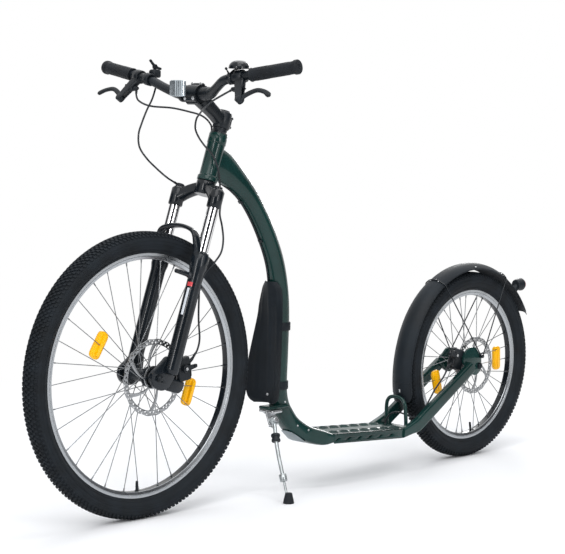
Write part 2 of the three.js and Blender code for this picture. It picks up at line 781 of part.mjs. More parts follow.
const deckRouteShares = [
  [0.6241, -0.0083, 0.1842], [0.6149, -0.0066, 0.1593], [0.5925, -0.0033, 0.1328], [0.5643, 0, 0.1187],
  [0.5311, 0, 0.1095], [0.4988, 0, 0.1021], [0.4647, 0, 0.1021], [0.4149, -0.0017, 0.0996],
  [0.3651, -0.0033, 0.0971], [0.3154, -0.005, 0.0938], [0.2822, -0.0083, 0.0905],
  [0.2639, -0.0149, 0.0896], [0.2539, -0.0216, 0.0954], [0.2506, -0.0216, 0.1079],
  [0.2465, -0.0116, 0.122], [0.2407, 0.0025, 0.127], [0.2299, 0.0141, 0.1228], [0.2133, 0.0257, 0.1162],
  [0.1909, 0.0307, 0.122], [0.1776, 0.0324, 0.1378], [0.1635, 0.0332, 0.1552], [0.1502, 0.0332, 0.1709],
  [0.1344, 0.0328, 0.1846], [0.1203, 0.032, 0.1958], [0.1087, 0.0303, 0.2066], [0.1004, 0.0282, 0.2166],
];

const route = (shares) => shares.map(([x, y, z]) => point(x, y, z).multiplyScalar(wheelbase));

// A cable, made a little thicker and longer when it is used to cut its own channel
function cable(points, steps, extra = 0) {
  const start = points[0].clone().sub(points[1]).setLength(extra).add(points[0]);
  const end = points.at(-1).clone().sub(points.at(-2)).setLength(extra).add(points.at(-1));
  return tube([start, ...points.slice(1, -1), end], cableRadius + extra, cableSides, steps);
}

const frontBrakePoints = route(frontBrakeRouteShares);
const lockoutPoints = route(lockoutRouteShares);
const rearBrakePoints = [
  ...route(barRouteShares),
  frontOfTube(2, 2 * cableRadius, cableLift),
  frontOfTube(3, cableRadius, cableLift),
  frontOfTube(4, 0, cableLift),
  frontOfTube(5, -cableRadius, cableLift),
  frontOfTube(6, -2 * cableRadius, cableLift),
  frontOfTube(7, -tubeRadius / 2, cableLift),
  frontOfTube(8, -tubeRadius / 2, cableLift),
  frontOfTube(9, -tubeRadius / 2, cableLift),
  frontOfTube(10, -tubeRadius / 2, cableLift),
  ...route(deckRouteShares),
];
const frontBrakeSteps = 50;
const lockoutSteps = 22;
const rearBrakeSteps = 74;
add(bike, 'front_brake_cable', cable(frontBrakePoints, frontBrakeSteps), black, 0.5, 0);
add(bike, 'lockout_cable', cable(lockoutPoints, lockoutSteps), black, 0.5, 0);
add(bike, 'rear_brake_cable', cable(rearBrakePoints, rearBrakeSteps), black, 0.5, 0);
const rearCableSpace = cable(rearBrakePoints, rearBrakeSteps, gap);
const frontCableSpace = cable(frontBrakePoints, frontBrakeSteps, gap);
const lockoutCableSpace = cable(lockoutPoints, lockoutSteps, gap);

// Down tube: the curved tube, the tab that carries the stand, and the way the rear cable takes inside
function downTube() {
  const headSpace = moved(turned(headTubeProfile(0, gap), 20), forkMatrix);
  const tab = box(2 * standTabLength, 2 * standTabHalfWidth, standTabThickness);
  const placed = shift(tab, frames[10].centre.x + tubeRadius, standTabShift, standTabPlace);
  return cut(join(tubeSkin(0), placed), headSpace, rearCableSpace);
}
add(bike, 'down_tube', downTube(), green, 0.25, 0.3);

// Scuff plate: a thin skin under the outside of the tube's lower bend
function scuffPlate() {
  const regionShares = [
    [0.42, -0.5], [1.3, -0.5], [1.3, 0.68], [0.98, 0.66], [0.89, 0.61], [0.75, 0.47], [0.61, 0.28], [0.44, 0.03],
  ];
  const floor = deckTop - deckHeight;
  const outline = regionShares.map(([x, z]) => [deckFront + x * scuffLength, floor + z * scuffDrop]);
  const region = plate(outline, 4 * deckHalfWidth);
  return cut(tubeSkin(gap + scuffThickness).intersect(region), tubeSkin(gap));
}
add(bike, 'scuff_plate', scuffPlate(), grey, 0.4, 0.8);

// Deck: an open channel with a punched top, slotted sides and two rails inside, in its own sloping frame
const deckMatrix = seat(point(deckFront, 0, deckTop), deckAlong, deckUp);
const onDeck = (x, y, z) => point(x, y, z).applyMatrix4(deckMatrix);
const deckLength = (deckFront - deckRear) / Math.cos(deckSlope);

function deck() {
  const tail = (deckFront - deckTailRear) / Math.cos(deckSlope);
  const channel = shift(box(deckLength, 2 * deckHalfWidth, deckHeight), -deckLength / 2, 0, -deckHeight / 2);
  const hollow = box(deckLength + overrun, 2 * (deckHalfWidth - deckWall), deckHeight);
  const under = shift(hollow, -deckLength / 2, 0, -deckHeight / 2 - deckWall);
  const tailPlate = shift(box(tail, 2 * deckTailHalfWidth, deckWall), -tail / 2, 0, -deckWall / 2);
  const dimples = [];
  for (let i = 0; i < dimpleCount; i++) {
    for (const side of [1, -1]) {
      const place = point(-dimpleSpacing * (i + 0.6), side * dimpleRow, 0);
      const top = place.clone().setZ(overrun);
      dimples.push(rod(place.setZ(-deckWall - overrun), top, dimpleRadius, 8));
    }
  }
  const slots = [];
  const slotShares = [[-0.6, -0.5], [0.35, -0.5], [0.6, 0.5], [-0.35, 0.5]];
  const slot = plate(slotShares.map(([x, z]) => [x * slotLength, z * slotHeight]), 2 * (deckHalfWidth + overrun));
  for (let i = 0; i < slotCount; i++) {
    slots.push(shift(slot, -slotSpacing * (i + 0.35), 0, -deckHeight * 0.58));
  }
  const rail = box(deckLength, deckWall, railHeight);
  const rails = [1, -1].map((side) => shift(rail, -deckLength / 2, side * railPlace, -deckWall / 2 - railHeight / 2));
  const whole = moved(join(cut(join(cut(channel, under), tailPlate), ...dimples, ...slots), ...rails), deckMatrix);
  return cut(whole, rearCableSpace);
}
add(bike, 'deck', deck(), green, 0.35, 0.3);

// Rear stays: a box section from the deck's rear to a dropout plate round the axle
function rearStay(side) {
  const front = onDeck(-deckLength - gap, stayCentre, -deckHeight / 2);
  const knee = point(stayKnee, stayCentre, front.z + stayKneeRise);
  const end = point(stayEndHeight * 1.4, stayCentre, rearTyreRadius + stayEndHeight / 20);
  const rise = axisY.clone().cross(end.clone().sub(knee)).normalize();
  const stations = [
    [front, deckUp, deckHeight / 2],
    [knee, rise.clone().add(deckUp).normalize(), stayHeight / 2],
    [knee.clone().lerp(end, 0.2), rise, stayHeight / 2],
    [end, rise, stayEndHeight / 2],
  ];
  const rings = stations.map(([centre, up, half]) =>
    roundSection(centre, axisY, up, stayWidth / 2, half, 5, 12));
  const caliperLobe = [[1.8, 0.5], [1.5, 1.15], [0.95, 1.35], [0.45, 1.36]];
  const plainLobe = [[1.5, 0.5], [1.05, 0.75], [0.75, 1.05], [0.4, 1.1]];
  const dropoutShares = [
    ...(side > 0 ? caliperLobe : plainLobe),
    [0.1, 0.95], [-0.2, 0.7], [-0.26, 0.2], [-0.22, -0.25], [0, -0.5], [0.35, -0.65], [0.9, -0.5], [1.5, 0],
  ];
  const outline = dropoutShares.map(([x, z]) => [x * rearDropoutSize, z * rearDropoutSize]);
  const place = rearDropoutPlane + rearDropoutThickness / 2;
  const dropout = shift(plate(outline, rearDropoutThickness), 0, place, rearTyreRadius);
  const hole = rod(rearAxlePlace, point(0, place * 2, rearTyreRadius), axleRadius + gap, 12);
  return onSide(cut(join(loft(rings), dropout), hole), side);
}
add(bike, 'left_stay', rearStay(1), green, 0.25, 0.3);
add(bike, 'right_stay', rearStay(-1), green, 0.25, 0.3);

// Hoop: a bent rod that stands on the deck's tail and holds the fender's lower end
const hoopFoot = onDeck(-(deckFront - hoopPlace) / Math.cos(deckSlope), 0, 3 * gap);
function fenderHoop() {
  const shares = [[1, 0], [1, 0.3], [0.98, 0.58], [0.86, 0.82], [0.55, 0.96], [0, 1]];
  const half = shares.map(([w, h]) =>
    point(hoopFoot.x + h * hoopRodRadius, w * hoopHalfWidth, hoopFoot.z + h * hoopHeight));
  const other = half.slice(0, -1).reverse().map((p) => point(p.x, -p.y, p.z));
  return tube([...half, ...other], hoopRodRadius, 8, 18);
}
add(bike, 'fender_hoop', fenderHoop(), green, 0.25, 0.3);

// Rear fender: a crowned strip bent round the rear wheel, with a tab to the hoop
const fenderDrop = (across) => fenderCrown * Math.abs(across / fenderHalfWidth) ** 2.2;
function onFender(angle, across, lift) {
  const flare = fenderFlare * Math.max(0, (fenderFlareStart - angle) / (fenderFlareStart - fenderStart)) ** 1.5;
  const radius = fenderRadius + flare - fenderDrop(across) + lift;
  return point(radius * Math.cos(angle), across, rearTyreRadius + radius * Math.sin(angle));
}
function rearFender() {
  const acrossShares = [-1, -0.65, 0, 0.65, 1];
  const steps = 22;
  const rings = [];
  for (let i = 0; i <= steps; i++) {
    const angle = fenderStart + ((fenderEnd - fenderStart) * i) / steps;
    const outer = acrossShares.map((w) => onFender(angle, w * fenderHalfWidth, 0));
    const inner = acrossShares.map((w) => onFender(angle, w * (fenderHalfWidth - fenderWall / 2), -fenderWall));
    rings.push([...outer, ...inner.reverse()]);
  }
  const hoopBack = hoopFoot.x - gap;
  const tabHeight = hoopFoot.z + hoopHeight;
  const tab = shift(box(fenderTab, fenderTab, fenderWall), hoopBack - fenderTab / 2, 0, tabHeight);
  return join(loft(rings), tab);
}
add(bike, 'rear_fender', rearFender(), black, 0.4, 0);

// The space the fender fills, for the pieces that rest on it
const crownShares = [-1, -0.65, 0, 0.65, 1];
const crownProfile = crownShares.map((w) => {
  const across = w * fenderHalfWidth;
  return [fenderRadius - fenderDrop(across) + gap, across];
});
const fenderProfile = [[0, -fenderHalfWidth], ...crownProfile, [0, fenderHalfWidth]];
const fenderSpace = shift(wheelTurned(fenderProfile, 2 * wheelSegments), 0, 0, rearTyreRadius);

// Fender stay: a wire from one dropout, over the fender, to the other dropout
function fenderStay(angle, order) {
  const lift = wireRadius + 4 * gap;
  const outerFace = rearDropoutPlane + rearDropoutThickness + gap;
  const start = outerFace + order * (wireStandoff + 2 * wireRadius + gap);
  const reach = start + wireStandoff / (1 + order) + wireRadius;
  const eye = point(eyeX, reach, rearTyreRadius + eyeRise);
  const over = [
    onFender(angle, fenderHalfWidth + lift, -lift),
    onFender(angle, fenderHalfWidth + lift * 0.75, lift * 1.5),
    onFender(angle, fenderHalfWidth * 0.65, lift),
    onFender(angle, 0, lift),
  ];
  const half = [eye, eye.clone().lerp(over[0], 1 / 2), ...over];
  const other = half.slice(0, -1).reverse().map((p) => point(p.x, -p.y, p.z));
  const wire = sweep([...half, ...other].map((p) => [p, wireRadius, wireRadius]), axisX, 2, 6);
  const boss = rod(eye.clone().setY(start), eye.clone().setY(reach + wireRadius), wireEyeRadius, 8);
  return join(wire, boss, onSide(boss, -1));
}
add(bike, 'fender_stay_front', fenderStay(frontWireAngle, 0), black, 0.4, 0.6);
add(bike, 'fender_stay_rear', fenderStay(rearWireAngle, 1), black, 0.4, 0.6);

// Tail lamp: a round housing on a foot that sits on the fender, and its lens
const lampPlace = onFender(tailLampAngle, 0, tailLampLift);
function tailLamp() {
  const back = point(lampPlace.x + tailLampDepth / 2, 0, lampPlace.z);
  const front = point(lampPlace.x - tailLampDepth / 2, 0, lampPlace.z);
  const housing = rod(back, front, tailLampRadius * 0.8, 16, tailLampRadius);
  const foot = rod(onFender(tailLampAngle, 0, -fenderWall), lampPlace, tailLampRadius / 2, 10);
  return cut(join(housing, foot), fenderSpace);
}
function tailLens() {
  const start = lampPlace.x - tailLampDepth / 2 - gap;
  const profile = [[0, 0], [tailLampRadius * 0.92, 0], [tailLampRadius * 0.92, tailLensDepth / 2],
    [tailLampRadius * 0.6, tailLensDepth * 0.9], [0, tailLensDepth]];
  const rearward = axisX.clone().negate();
  return moved(turned(profile, 16), seat(point(start, 0, lampPlace.z), axisZ, rearward));
}
add(bike, 'tail_lamp', tailLamp(), black, 0.4, 0);
add(bike, 'tail_lens', tailLens(), red, 0.15, 0);

// Front mud panel: a folded shield strapped to the tube behind the front wheel
function mudPanel() {
  const panelShares = [
    [0, 0.5, 0, 1], [0.02, 0.76, 0, 1], [0.06, 0.94, 0, 1], [0.14, 1, 0, 1], [0.35, 0.97, 0, 0.75],
    [0.69, 0.75, 0, 0], [0.8, 0.7, 0.1, -0.25], [0.9, 0.62, 0.2, -0.5], [0.95, 0.54, 0.3, -0.6],
    [1, 0.34, 0.45, -0.6],
  ];
  const acrossShares = [-1, -0.5, 0, 0.5, 1];
  const rings = panelShares.map(([rise, wide, forward, bend]) => {
    const z = panelBottom + rise * (panelTop - panelBottom);
    const halfWidth = wide * panelHalfWidth;
    const back = acrossShares.map((w) => point(
      panelRidge + forward * panelFold + panelFold * bend * Math.abs(w) ** 1.6, w * halfWidth - panelShift, z));
    const front = back.map((p) => point(p.x + panelWall, p.y, p.z));
    return [...back, ...front.reverse()];
  });
  const straps = [upperStrap, lowerStrap].map((z) => {
    const centre = frames[8].centre.x + (z < upperStrap ? overrun * 2 : 0);
    const reach = panelRidge + panelWall / 2 - centre;
    const band = rod(point(centre, 0, z - strapWidth / 2), point(centre, 0, z + strapWidth / 2),
      tubeRadius + gap + strapThickness, 16);
    return join(band, shift(box(reach, 2 * tubeRadius * 0.85, strapWidth), centre + reach / 2, 0, z));
  });
  return cut(join(loft(rings), ...straps), tubeSkin(gap), rearCableSpace);
}
add(bike, 'front_mudguard', mudPanel(), black, 0.5, 0);

// Fork crown with its steerer
function forkCrown() {
  const armShares = [-1, -0.75, -0.4, 0, 0.4, 0.75, 1];
  const rows = armShares.map((w) => {
    const drop = crownHeight / 2 + (crownClampTop + (crownClampHeight - crownHeight) / 2 + archHeight) * w * w;
    const place = point(stanchionOffset * Math.abs(w) ** 1.5, w * stanchionHalfSpan, -drop);
    return [place, crownHubRadius * 0.62, crownHeight * 0.42];
  });
  const clamps = [];
  const bores = [];
  for (const side of [1, -1]) {
    const at = (z) => point(stanchionOffset, side * stanchionHalfSpan, z);
    const shoulder = -crownClampTop - crownClampChamfer;
    clamps.push(rod(at(-crownClampTop - crownClampHeight), at(shoulder), crownClampRadius, 16));
    clamps.push(rod(at(shoulder), at(-crownClampTop), crownClampRadius, 16, knobRadius + gap));
    bores.push(rod(at(-crownClampTop - crownClampHeight - overrun), at(-crownClampTop - stanchionTopWall),
      stanchionRadius + gap, 16));
  }
  const hubBody = rod(point(0, 0, -crownHeight), point(0, 0, 0), crownHubRadius, 16);
  const steerer = rod(point(0, 0, -crownHeight / 2), point(0, 0, steererLength), steererRadius, 20);
  return cut(join(sweep(rows, axisX, 3, 10), hubBody, steerer, ...clamps), ...bores);
}
function stanchion(side) {
  const top = -crownClampTop - stanchionTopWall - gap;
  const at = (z) => point(stanchionOffset, side * stanchionHalfSpan, z);
  return rod(at(top - stanchionLength), at(top), stanchionRadius, 16);
}
add(fork, 'fork_crown', forkCrown(), black, 0.35, 0.5);
add(fork, 'stanchion_left', stanchion(1), chrome, 0.08, 1);
add(fork, 'stanchion_right', stanchion(-1), chrome, 0.08, 1);

// Brake caliper: a block that straddles the rotor, in the wheel's frame
function caliperBlock(orbit, angle, inner, outer, extra) {
  const width = outer - inner;
  const block = box(caliperDepth + 2 * extra, width + 2 * extra, caliperLength + 2 * extra);
  const seated = shift(block, orbit, inner + width / 2, 0);
  return moved(seated, new THREE.Matrix4().makeRotationY(-angle));
}
const wheelPoint = (radius, angle, y) => point(radius * Math.cos(angle), y, radius * Math.sin(angle));
function caliper(centre, orbit, angle, inner, outer, rotorRadius, rotorPlane, pivot, cableEnd, cableSpace) {
  const slot = shift(wheelTurned([[0, -caliperSlot / 2], [rotorRadius + overrun, -caliperSlot / 2],
    [rotorRadius + overrun, caliperSlot / 2], [0, caliperSlot / 2]], wheelSegments), 0, rotorPlane, 0);
  const cylinder = rod(pivot.clone().setY(rotorPlane + caliperSlot / 2), pivot, caliperCylinder, 14);
  const stop = rod(wheelPoint(orbit, angle, cableEnd.y), cableEnd.clone().sub(centre), cableRadius * 2.2, 8);
  const body = join(cut(caliperBlock(orbit, angle, inner, outer, 0), slot), cut(cylinder, slot), cut(stop, slot));
  return cut(shift(body, centre.x, centre.y, centre.z), cableSpace);
}

// The arm that the cable pulls, on the caliper's outer face
function brakeArm(pivot, direction) {
  const face = pivot.clone().setY(pivot.y + gap);
  const outer = face.clone().setY(face.y + armThickness);
  const tip = direction.clone().setLength(armLength);
  const hubBody = rod(face, outer, armHubRadius, 14);
  const across = direction.clone().cross(axisY).normalize();
  const middle = face.clone().lerp(outer, 1 / 2);
  const blade = loft([[0, 0.8], [1, 0.5]].map(([s, w]) => {
    const centre = middle.clone().addScaledVector(tip, s);
    return roundSection(centre, across, axisY, armHubRadius * w, armThickness / 2, 8, 8);
  }));
  return join(hubBody, blade);
}

const frontPivot = wheelPoint(frontArmOrbit, frontArmPlace, frontCaliperOuter + overrun);
const rearPivot = wheelPoint(rearArmOrbit, rearArmAngle, rearCaliperOuter);
const frontCableEnd = frontBrakePoints.at(-1);
const rearCableEnd = rearBrakePoints.at(-1);
const frontCaliper = caliper(frontAxle, frontCaliperOrbit, frontCaliperAngle, frontCaliperInner, frontCaliperOuter,
  frontRotorRadius, frontRotorPlane, frontPivot, frontCableEnd, frontCableSpace);
const rearCaliper = caliper(rearAxlePlace, rearCaliperOrbit, rearCaliperAngle, rearCaliperInner, rearCaliperOuter,
  rearRotorRadius, rearRotorPlane, rearPivot, rearCableEnd, rearCableSpace);
add(bike, 'front_caliper', frontCaliper, black, 0.4, 0.5);
add(bike, 'rear_caliper', rearCaliper, black, 0.4, 0.5);
const frontArmDirection = point(Math.cos(frontArmTurn), 0, Math.sin(frontArmTurn));
const rearArmDirection = point(Math.cos(rearArmTurn), 0, Math.sin(rearArmTurn));
add(frontWheel, 'front_brake_arm', brakeArm(frontPivot, frontArmDirection), grey, 0.4, 0.8);
add(rearWheel, 'rear_brake_arm', brakeArm(rearPivot, rearArmDirection), grey, 0.4, 0.8);

// Fork lowers: two legs joined by an arch, with the dropouts and the brake's lower ear
function forkLeg(side) {
  const profile = [
    [0, -lowerEnd - lowerRadius / 2], [lowerRadius * 0.7, -lowerEnd - lowerRadius / 2], [lowerRadius, -lowerEnd],
    [lowerRadius, -lowerTop - lowerHeadHeight - lowerRadius / 2], [lowerHeadRadius, -lowerTop - lowerHeadHeight],
    [lowerHeadRadius, -lowerTop - overrun], [lowerHeadRadius - overrun, -lowerTop], [0, -lowerTop],
  ];
  const leg = shift(turned(profile, 16), stanchionOffset, stanchionHalfSpan, 0);
  const outline = forkDropoutShares.map(([x, z]) => [x * dropoutSize, z * dropoutSize]);
  const place = frontDropoutPlane + dropoutThickness / 2;
  const dropout = shift(plate(outline, dropoutThickness), forkOffset, place, -axleToCrown);
  const hole = rod(point(forkOffset, 0, -axleToCrown), point(forkOffset, 2 * place, -axleToCrown),
    axleRadius + gap, 12);
  return onSide(cut(join(leg, dropout), hole), side);
}
const forkDropoutShares = [
  [-1.05, 1.46], [-1.26, 0.39], [-0.95, -0.44], [-0.48, -0.7], [0.17, -0.63], [0.55, -0.27], [0.6, 0.2],
  [0.43, 0.99], [-0.24, 1.46],
];
const archShares = [[1, 0.46, 1.62], [0.99, 0.76, 1.34], [0.88, 0.96, 1.13], [0.56, 1.01, 1.04], [0, 0.98, 1]];
const earShares = [[0.3, 0.35], [-0.3, 0.3], [-1.05, 0.3], [-1.05, -0.2], [-0.8, -0.55], [0.3, -0.6]];
function forkLowers() {
  const half = archShares.map(([y, x, z]) => [point(x * archReach, y * stanchionHalfSpan, -z * archTop),
    archDepth, archHeight]);
  const other = half.slice(0, -1).reverse().map(([p, w, h]) => [point(p.x, -p.y, p.z), w, h]);
  const arch = sweep([...half, ...other], axisX, 3, 10);
  const bossPlace = point(stanchionOffset, stanchionHalfSpan, -lowerTop * bossShare);
  const boss = rod(bossPlace, point(stanchionOffset + lowerRadius + brakeBossLength, stanchionHalfSpan,
    bossPlace.z - overrun), brakeBossRadius, 10);
  const earOutline = earShares.map(([x, z]) => [x * lowerRadius * 2, -axleToCrown + z * lowerRadius * 2]);
  const earWidth = frontCaliperOuter - stanchionHalfSpan + lowerRadius;
  const ear = shift(plate(earOutline, earWidth), 0, frontCaliperOuter - earWidth / 2, 0);
  const bores = [1, -1].map((side) => {
    const at = (z) => point(stanchionOffset, side * stanchionHalfSpan, z);
    return rod(at(-lowerBore), at(-archTop), stanchionRadius + gap, 16);
  });
  const whole = cut(join(forkLeg(1), forkLeg(-1), arch, boss, ear), ...bores);
  const block = caliperBlock(frontCaliperOrbit, frontCaliperAngle, frontCaliperInner, frontCaliperOuter, gap);
  const seated = shift(block, frontAxle.x, 0, frontAxle.z);
  return cut(whole, moved(seated, forkMatrix.clone().invert()));
}
add(fork, 'fork_lowers', forkLowers(), black, 0.35, 0.4);

// Lockout knob on the right clamp's top
function lockoutKnob() {
  const base = gap - crownClampTop;
  const profile = [[0, base], [knobRadius, base], [knobRadius, base + knobHeight * 0.7],
    [knobRadius * 0.8, base + knobHeight], [0, base + knobHeight]];
  const knob = shift(turned(profile, 14), stanchionOffset, -stanchionHalfSpan, 0);
  return cut(moved(knob, forkMatrix), lockoutCableSpace);
}
add(bike, 'lockout_knob', lockoutKnob(), black, 0.4, 0.2);

// Headset cover and spacer
function headsetSpacer() {
  const start = headTubeLength + 2 * gap;
  const bore = steererRadius + gap;
  return turned([[bore, start], [headCupUpperRadius * 0.95, start], [spacerRadius, start + spacerLength / 3],
    [spacerRadius, start + spacerLength], [bore, start + spacerLength], [bore, start]], 20);
}
add(fork, 'headset_spacer', headsetSpacer(), black, 0.35, 0.5);

// Handlebar: rows of place across, forward, upward and radius, as shares of its named sizes
const barCentre = fromFork(stemReach, 0, barHeight);
function barPoint(across) {
  const beyond = Math.abs(across) - barKnee;
  return point(barCentre.x + barForward - beyond * Math.tan(barBacksweep), across,
    barCentre.z + barRise + beyond * Math.tan(barUpsweep));
}
function barSkin(extra) {
  const kneeShares = [[0, 0, 0, 1], [0.12, 0.03, 0.03, 0.95], [0.27, 0.17, 0.07, 0.4], [0.5, 0.52, 0.34, 0],
    [0.78, 0.87, 0.76, 0], [0.92, 0.975, 0.93, 0]];
  const thick = barClampRadius - barRadius;
  const half = kneeShares.map(([w, forward, rise, swell]) => [
    point(barCentre.x + forward * barForward, barStraight + w * (barKnee - barStraight),
      barCentre.z + rise * barRise), barRadius + swell * thick + extra, barRadius + swell * thick + extra]);
  half.push([barPoint(barKnee + barRadius), barRadius + extra, barRadius + extra]);
  half.push([barPoint(barHalfSpan + extra), barRadius + extra, barRadius + extra]);
  const other = half.map(([p, w, h]) => [point(p.x, -p.y, p.z), w, h]).reverse();
  return sweep([...other, ...half], axisX, 2, 12);
}
const barSpace = barSkin(gap);
add(bike, 'handlebar', barSkin(0), black, 0.35, 0.5);

// Stem: steerer clamp with its cap, extension and the rear half of the bar clamp
const stemStart = headTubeLength + 3 * gap + spacerLength;
const stemMiddle = point(0, 0, stemStart + stemClampHeight / 2);
const barInFork = point(stemReach, 0, barHeight);
const stemAlong = barInFork.clone().sub(stemMiddle).normalize();
const stemUp = stemAlong.clone().cross(axisY);
function barClampBlock() {
  const reach = barClampRadius + barClampWall;
  const ring = rod(barInFork.clone().setY(-barClampWidth / 2), barInFork.clone().setY(barClampWidth / 2), reach, 20);
  const lips = moved(box(reach, barClampWidth, 2 * clampBoltSpread), seat(barInFork, stemAlong, stemUp.clone().negate()));
  return join(ring, lips);
}
const clampFront = moved(shift(box(barClampWidth * 2, barClampWidth * 2, barClampWidth * 2), barClampWidth + clampSplit / 2, 0, 0),
  seat(barInFork, stemAlong, stemUp.clone().negate()));
const clampBack = moved(shift(box(barClampWidth * 2, barClampWidth * 2, barClampWidth * 2), -barClampWidth - clampSplit / 2, 0, 0),
  seat(barInFork, stemAlong, stemUp.clone().negate()));
function stem() {
  const clamp = rod(point(0, 0, stemStart), point(0, 0, stemStart + stemClampHeight), stemClampRadius, 20);
  const boss = shift(box(stemBoss, stemClampRadius, stemClampHeight * 0.8), -stemBoss / 2, 0, stemMiddle.z);
  const near = barInFork.clone().addScaledVector(stemAlong, -barClampRadius);
  const extension = sweep([
    [point(0, 0, stemMiddle.z - stemDrop), stemClampRadius * 0.8, stemClampHeight * 0.38],
    [stemMiddle.clone().lerp(near, 0.4).add(point(0, 0, -stemDrop / 2)), stemBodyWidth / 2, stemBodyHeight * 0.43],
    [near, barClampWidth * 0.45, stemBodyHeight / 2],
  ], axisY, 3.5, 12);
  const bore = rod(point(0, 0, 0), point(0, 0, steererLength + gap), steererRadius + gap, 20);
  const body = join(clamp, boss, extension, barClampBlock().intersect(clampBack));
  return cut(moved(cut(body, bore, clampFront), forkMatrix), barSpace);
}
add(bike, 'stem', stem(), black, 0.35, 0.5);
const faceplate = cut(moved(barClampBlock().intersect(clampFront), forkMatrix), barSpace);
add(bike, 'stem_faceplate', faceplate, black, 0.35, 0.5);

// Grip: a sleeve on the bar's end, closed at its outer end
function grip(side) {
  const start = barPoint(gripStart);
  const end = barPoint(barHalfSpan);
  const length = start.distanceTo(end) + gripCap;
  const profile = [
    [0, 0], [gripFlangeRadius * 0.95, 0], [gripFlangeRadius * 0.95, gripCap / 2], [gripRadius, gripCap],
    [gripRadius, length - gripFlangeWidth - gripCap / 3], [gripFlangeRadius, length - gripFlangeWidth],
    [gripFlangeRadius, length - gripCap / 3], [gripRadius, length], [0, length],
  ];
  const sleeve = moved(turned(profile, 14), seat(start, axisX, end.clone().sub(start)));
  return onSide(cut(sleeve, barSpace), side);
}
add(bike, 'grip_left', grip(1), rubber, 0.9, 0);
add(bike, 'grip_right', grip(-1), rubber, 0.9, 0);

// Brake lever and its perch, in the plane that the lever swings in
const leverDown = point(Math.cos(perchTilt), 0, Math.sin(perchTilt));
const leverAxis = leverDown.clone().cross(axisY).negate();
const leverPivot = barPoint(perchPlace).addScaledVector(leverDown, perchReach).setY(leverPivotPlace);
function leverPerch(side) {
  const clampCentre = barPoint(perchPlace);
  const clamp = rod(barPoint(perchPlace - perchLength / 2), barPoint(perchPlace + perchLength / 2), perchRadius, 12);
  const knuckleEnd = (s) => leverPivot.clone().addScaledVector(leverAxis, (s * perchThickness) / 2);
  const slotEnd = (s) => leverPivot.clone().addScaledVector(leverAxis, s * (leverThickness / 2 + gap));
  const arm = sweep([
    [clampCentre, perchThickness / 2, perchLength / 2],
    [clampCentre.clone().lerp(leverPivot, 0.6), perchThickness / 2, perchKnuckleRadius],
    [leverPivot, perchThickness / 2, perchKnuckleRadius * 0.9],
  ], leverAxis, 4, 8);
  const knuckle = rod(knuckleEnd(-1), knuckleEnd(1), perchKnuckleRadius, 12);
  const slot = rod(slotEnd(-1), slotEnd(1), perchKnuckleRadius + 4 * overrun, 12);
  const pin = rod(knuckleEnd(-1), knuckleEnd(1), leverPinRadius, 8);
  const barrelStart = clampCentre.clone().lerp(leverPivot, 0.62);
  const cableStart = side > 0 ? frontBrakePoints[0] : rearBrakePoints[0].clone().setY(-rearBrakePoints[0].y);
  const barrelEnd = cableStart.clone().sub(barrelStart).setLength(cableRadius * 2).add(cableStart);
  const barrel = rod(barrelStart, barrelEnd, barrelRadius, 8);
  const body = join(cut(join(clamp, arm, knuckle, barrel), slot), pin);
  return cut(onSide(cut(body, barSpace), side), side > 0 ? frontCableSpace : rearCableSpace);
}
function brakeLever(side) {
  const rows = leverShares.map(([reach, drop, thick]) => [
    leverPivot.clone().addScaledVector(axisY, reach * leverSpan).addScaledVector(leverDown, -drop * leverDrop),
    (leverThickness / 2) * (1 - reach * 0.2), (leverDepth / 2) * thick]);
  const eyeEnd = (s) => leverPivot.clone().addScaledVector(leverAxis, (s * leverThickness) / 2);
  const eye = rod(eyeEnd(-1), eyeEnd(1), perchKnuckleRadius, 12);
  const boreEnd = (s) => leverPivot.clone().addScaledVector(leverAxis, s * leverThickness);
  return onSide(cut(join(sweep(rows, leverAxis, 3, 8), eye),
    rod(boreEnd(-1), boreEnd(1), leverPinRadius + gap, 8)), side);
}
const leverShares = [[0, 0, 0.9], [0.2, 0.75, 0.95], [0.47, 1.25, 0.85], [0.75, 1.1, 0.85], [0.95, 0.7, 1], [1, 0.6, 0.6]];
for (const [side, label] of [[1, 'left'], [-1, 'right']]) {
  add(bike, `lever_perch_${label}`, leverPerch(side), black, 0.4, 0.3);
  add(bike, `brake_lever_${label}`, brakeLever(side), black, 0.4, 0.4);
}

// Bell on its bracket, and the striker beside it
const bellBase = point(barPoint(perchPlace).x, bellPlace, barCentre.z + bellRise + bellPostRadius * 3);
function bell() {
  const domeShares = [[0, 1], [0.38, 0.95], [0.7, 0.76], [0.92, 0.42], [1, 0]];
  const outside = domeShares.map(([r, h]) => [r * bellRadius, h * bellHeight]);
  const hollowRadius = bellRadius - bellWall;
  const hollowHeight = bellHeight - bellWall;
  const inside = [[1, 0], [0.92, 0.42], [0.7, 0.76]].map(([r, h]) => [r * hollowRadius, h * hollowHeight]);
  const post = [[bellPostRadius, hollowHeight * 0.93], [bellPostRadius, -bellPostRadius / 2],
    [0, -bellPostRadius / 2]];
  const dome = shift(turned([...outside, ...inside, ...post], 16), bellBase.x, bellBase.y, bellBase.z);
  const ringAt = (w) => barPoint(bellBracketPlace + (w * bellBracketWidth) / 2);
  const ring = rod(ringAt(-1), ringAt(1), bellBracketRadius, 12);
  const start = barPoint(bellBracketPlace);
  start.z += bellBracketRadius * 0.8;
  const shoulder = start.clone().lerp(bellBase, 0.45);
  shoulder.z = bellBase.z - bellPostRadius / 2 - bellWall;
  const arm = sweep([[start, bellPostRadius, bellWall], [shoulder, bellPostRadius, bellWall],
    [bellBase.clone().setZ(bellBase.z - bellPostRadius / 4), bellPostRadius, bellWall]], axisX, 4, 8);
  const perchSpace = rod(barPoint(perchPlace - perchLength / 2 - gap), barPoint(perchPlace + perchLength / 2),
    perchRadius + gap, 12);
  return join(dome, cut(join(ring, arm), barSpace, perchSpace));
}
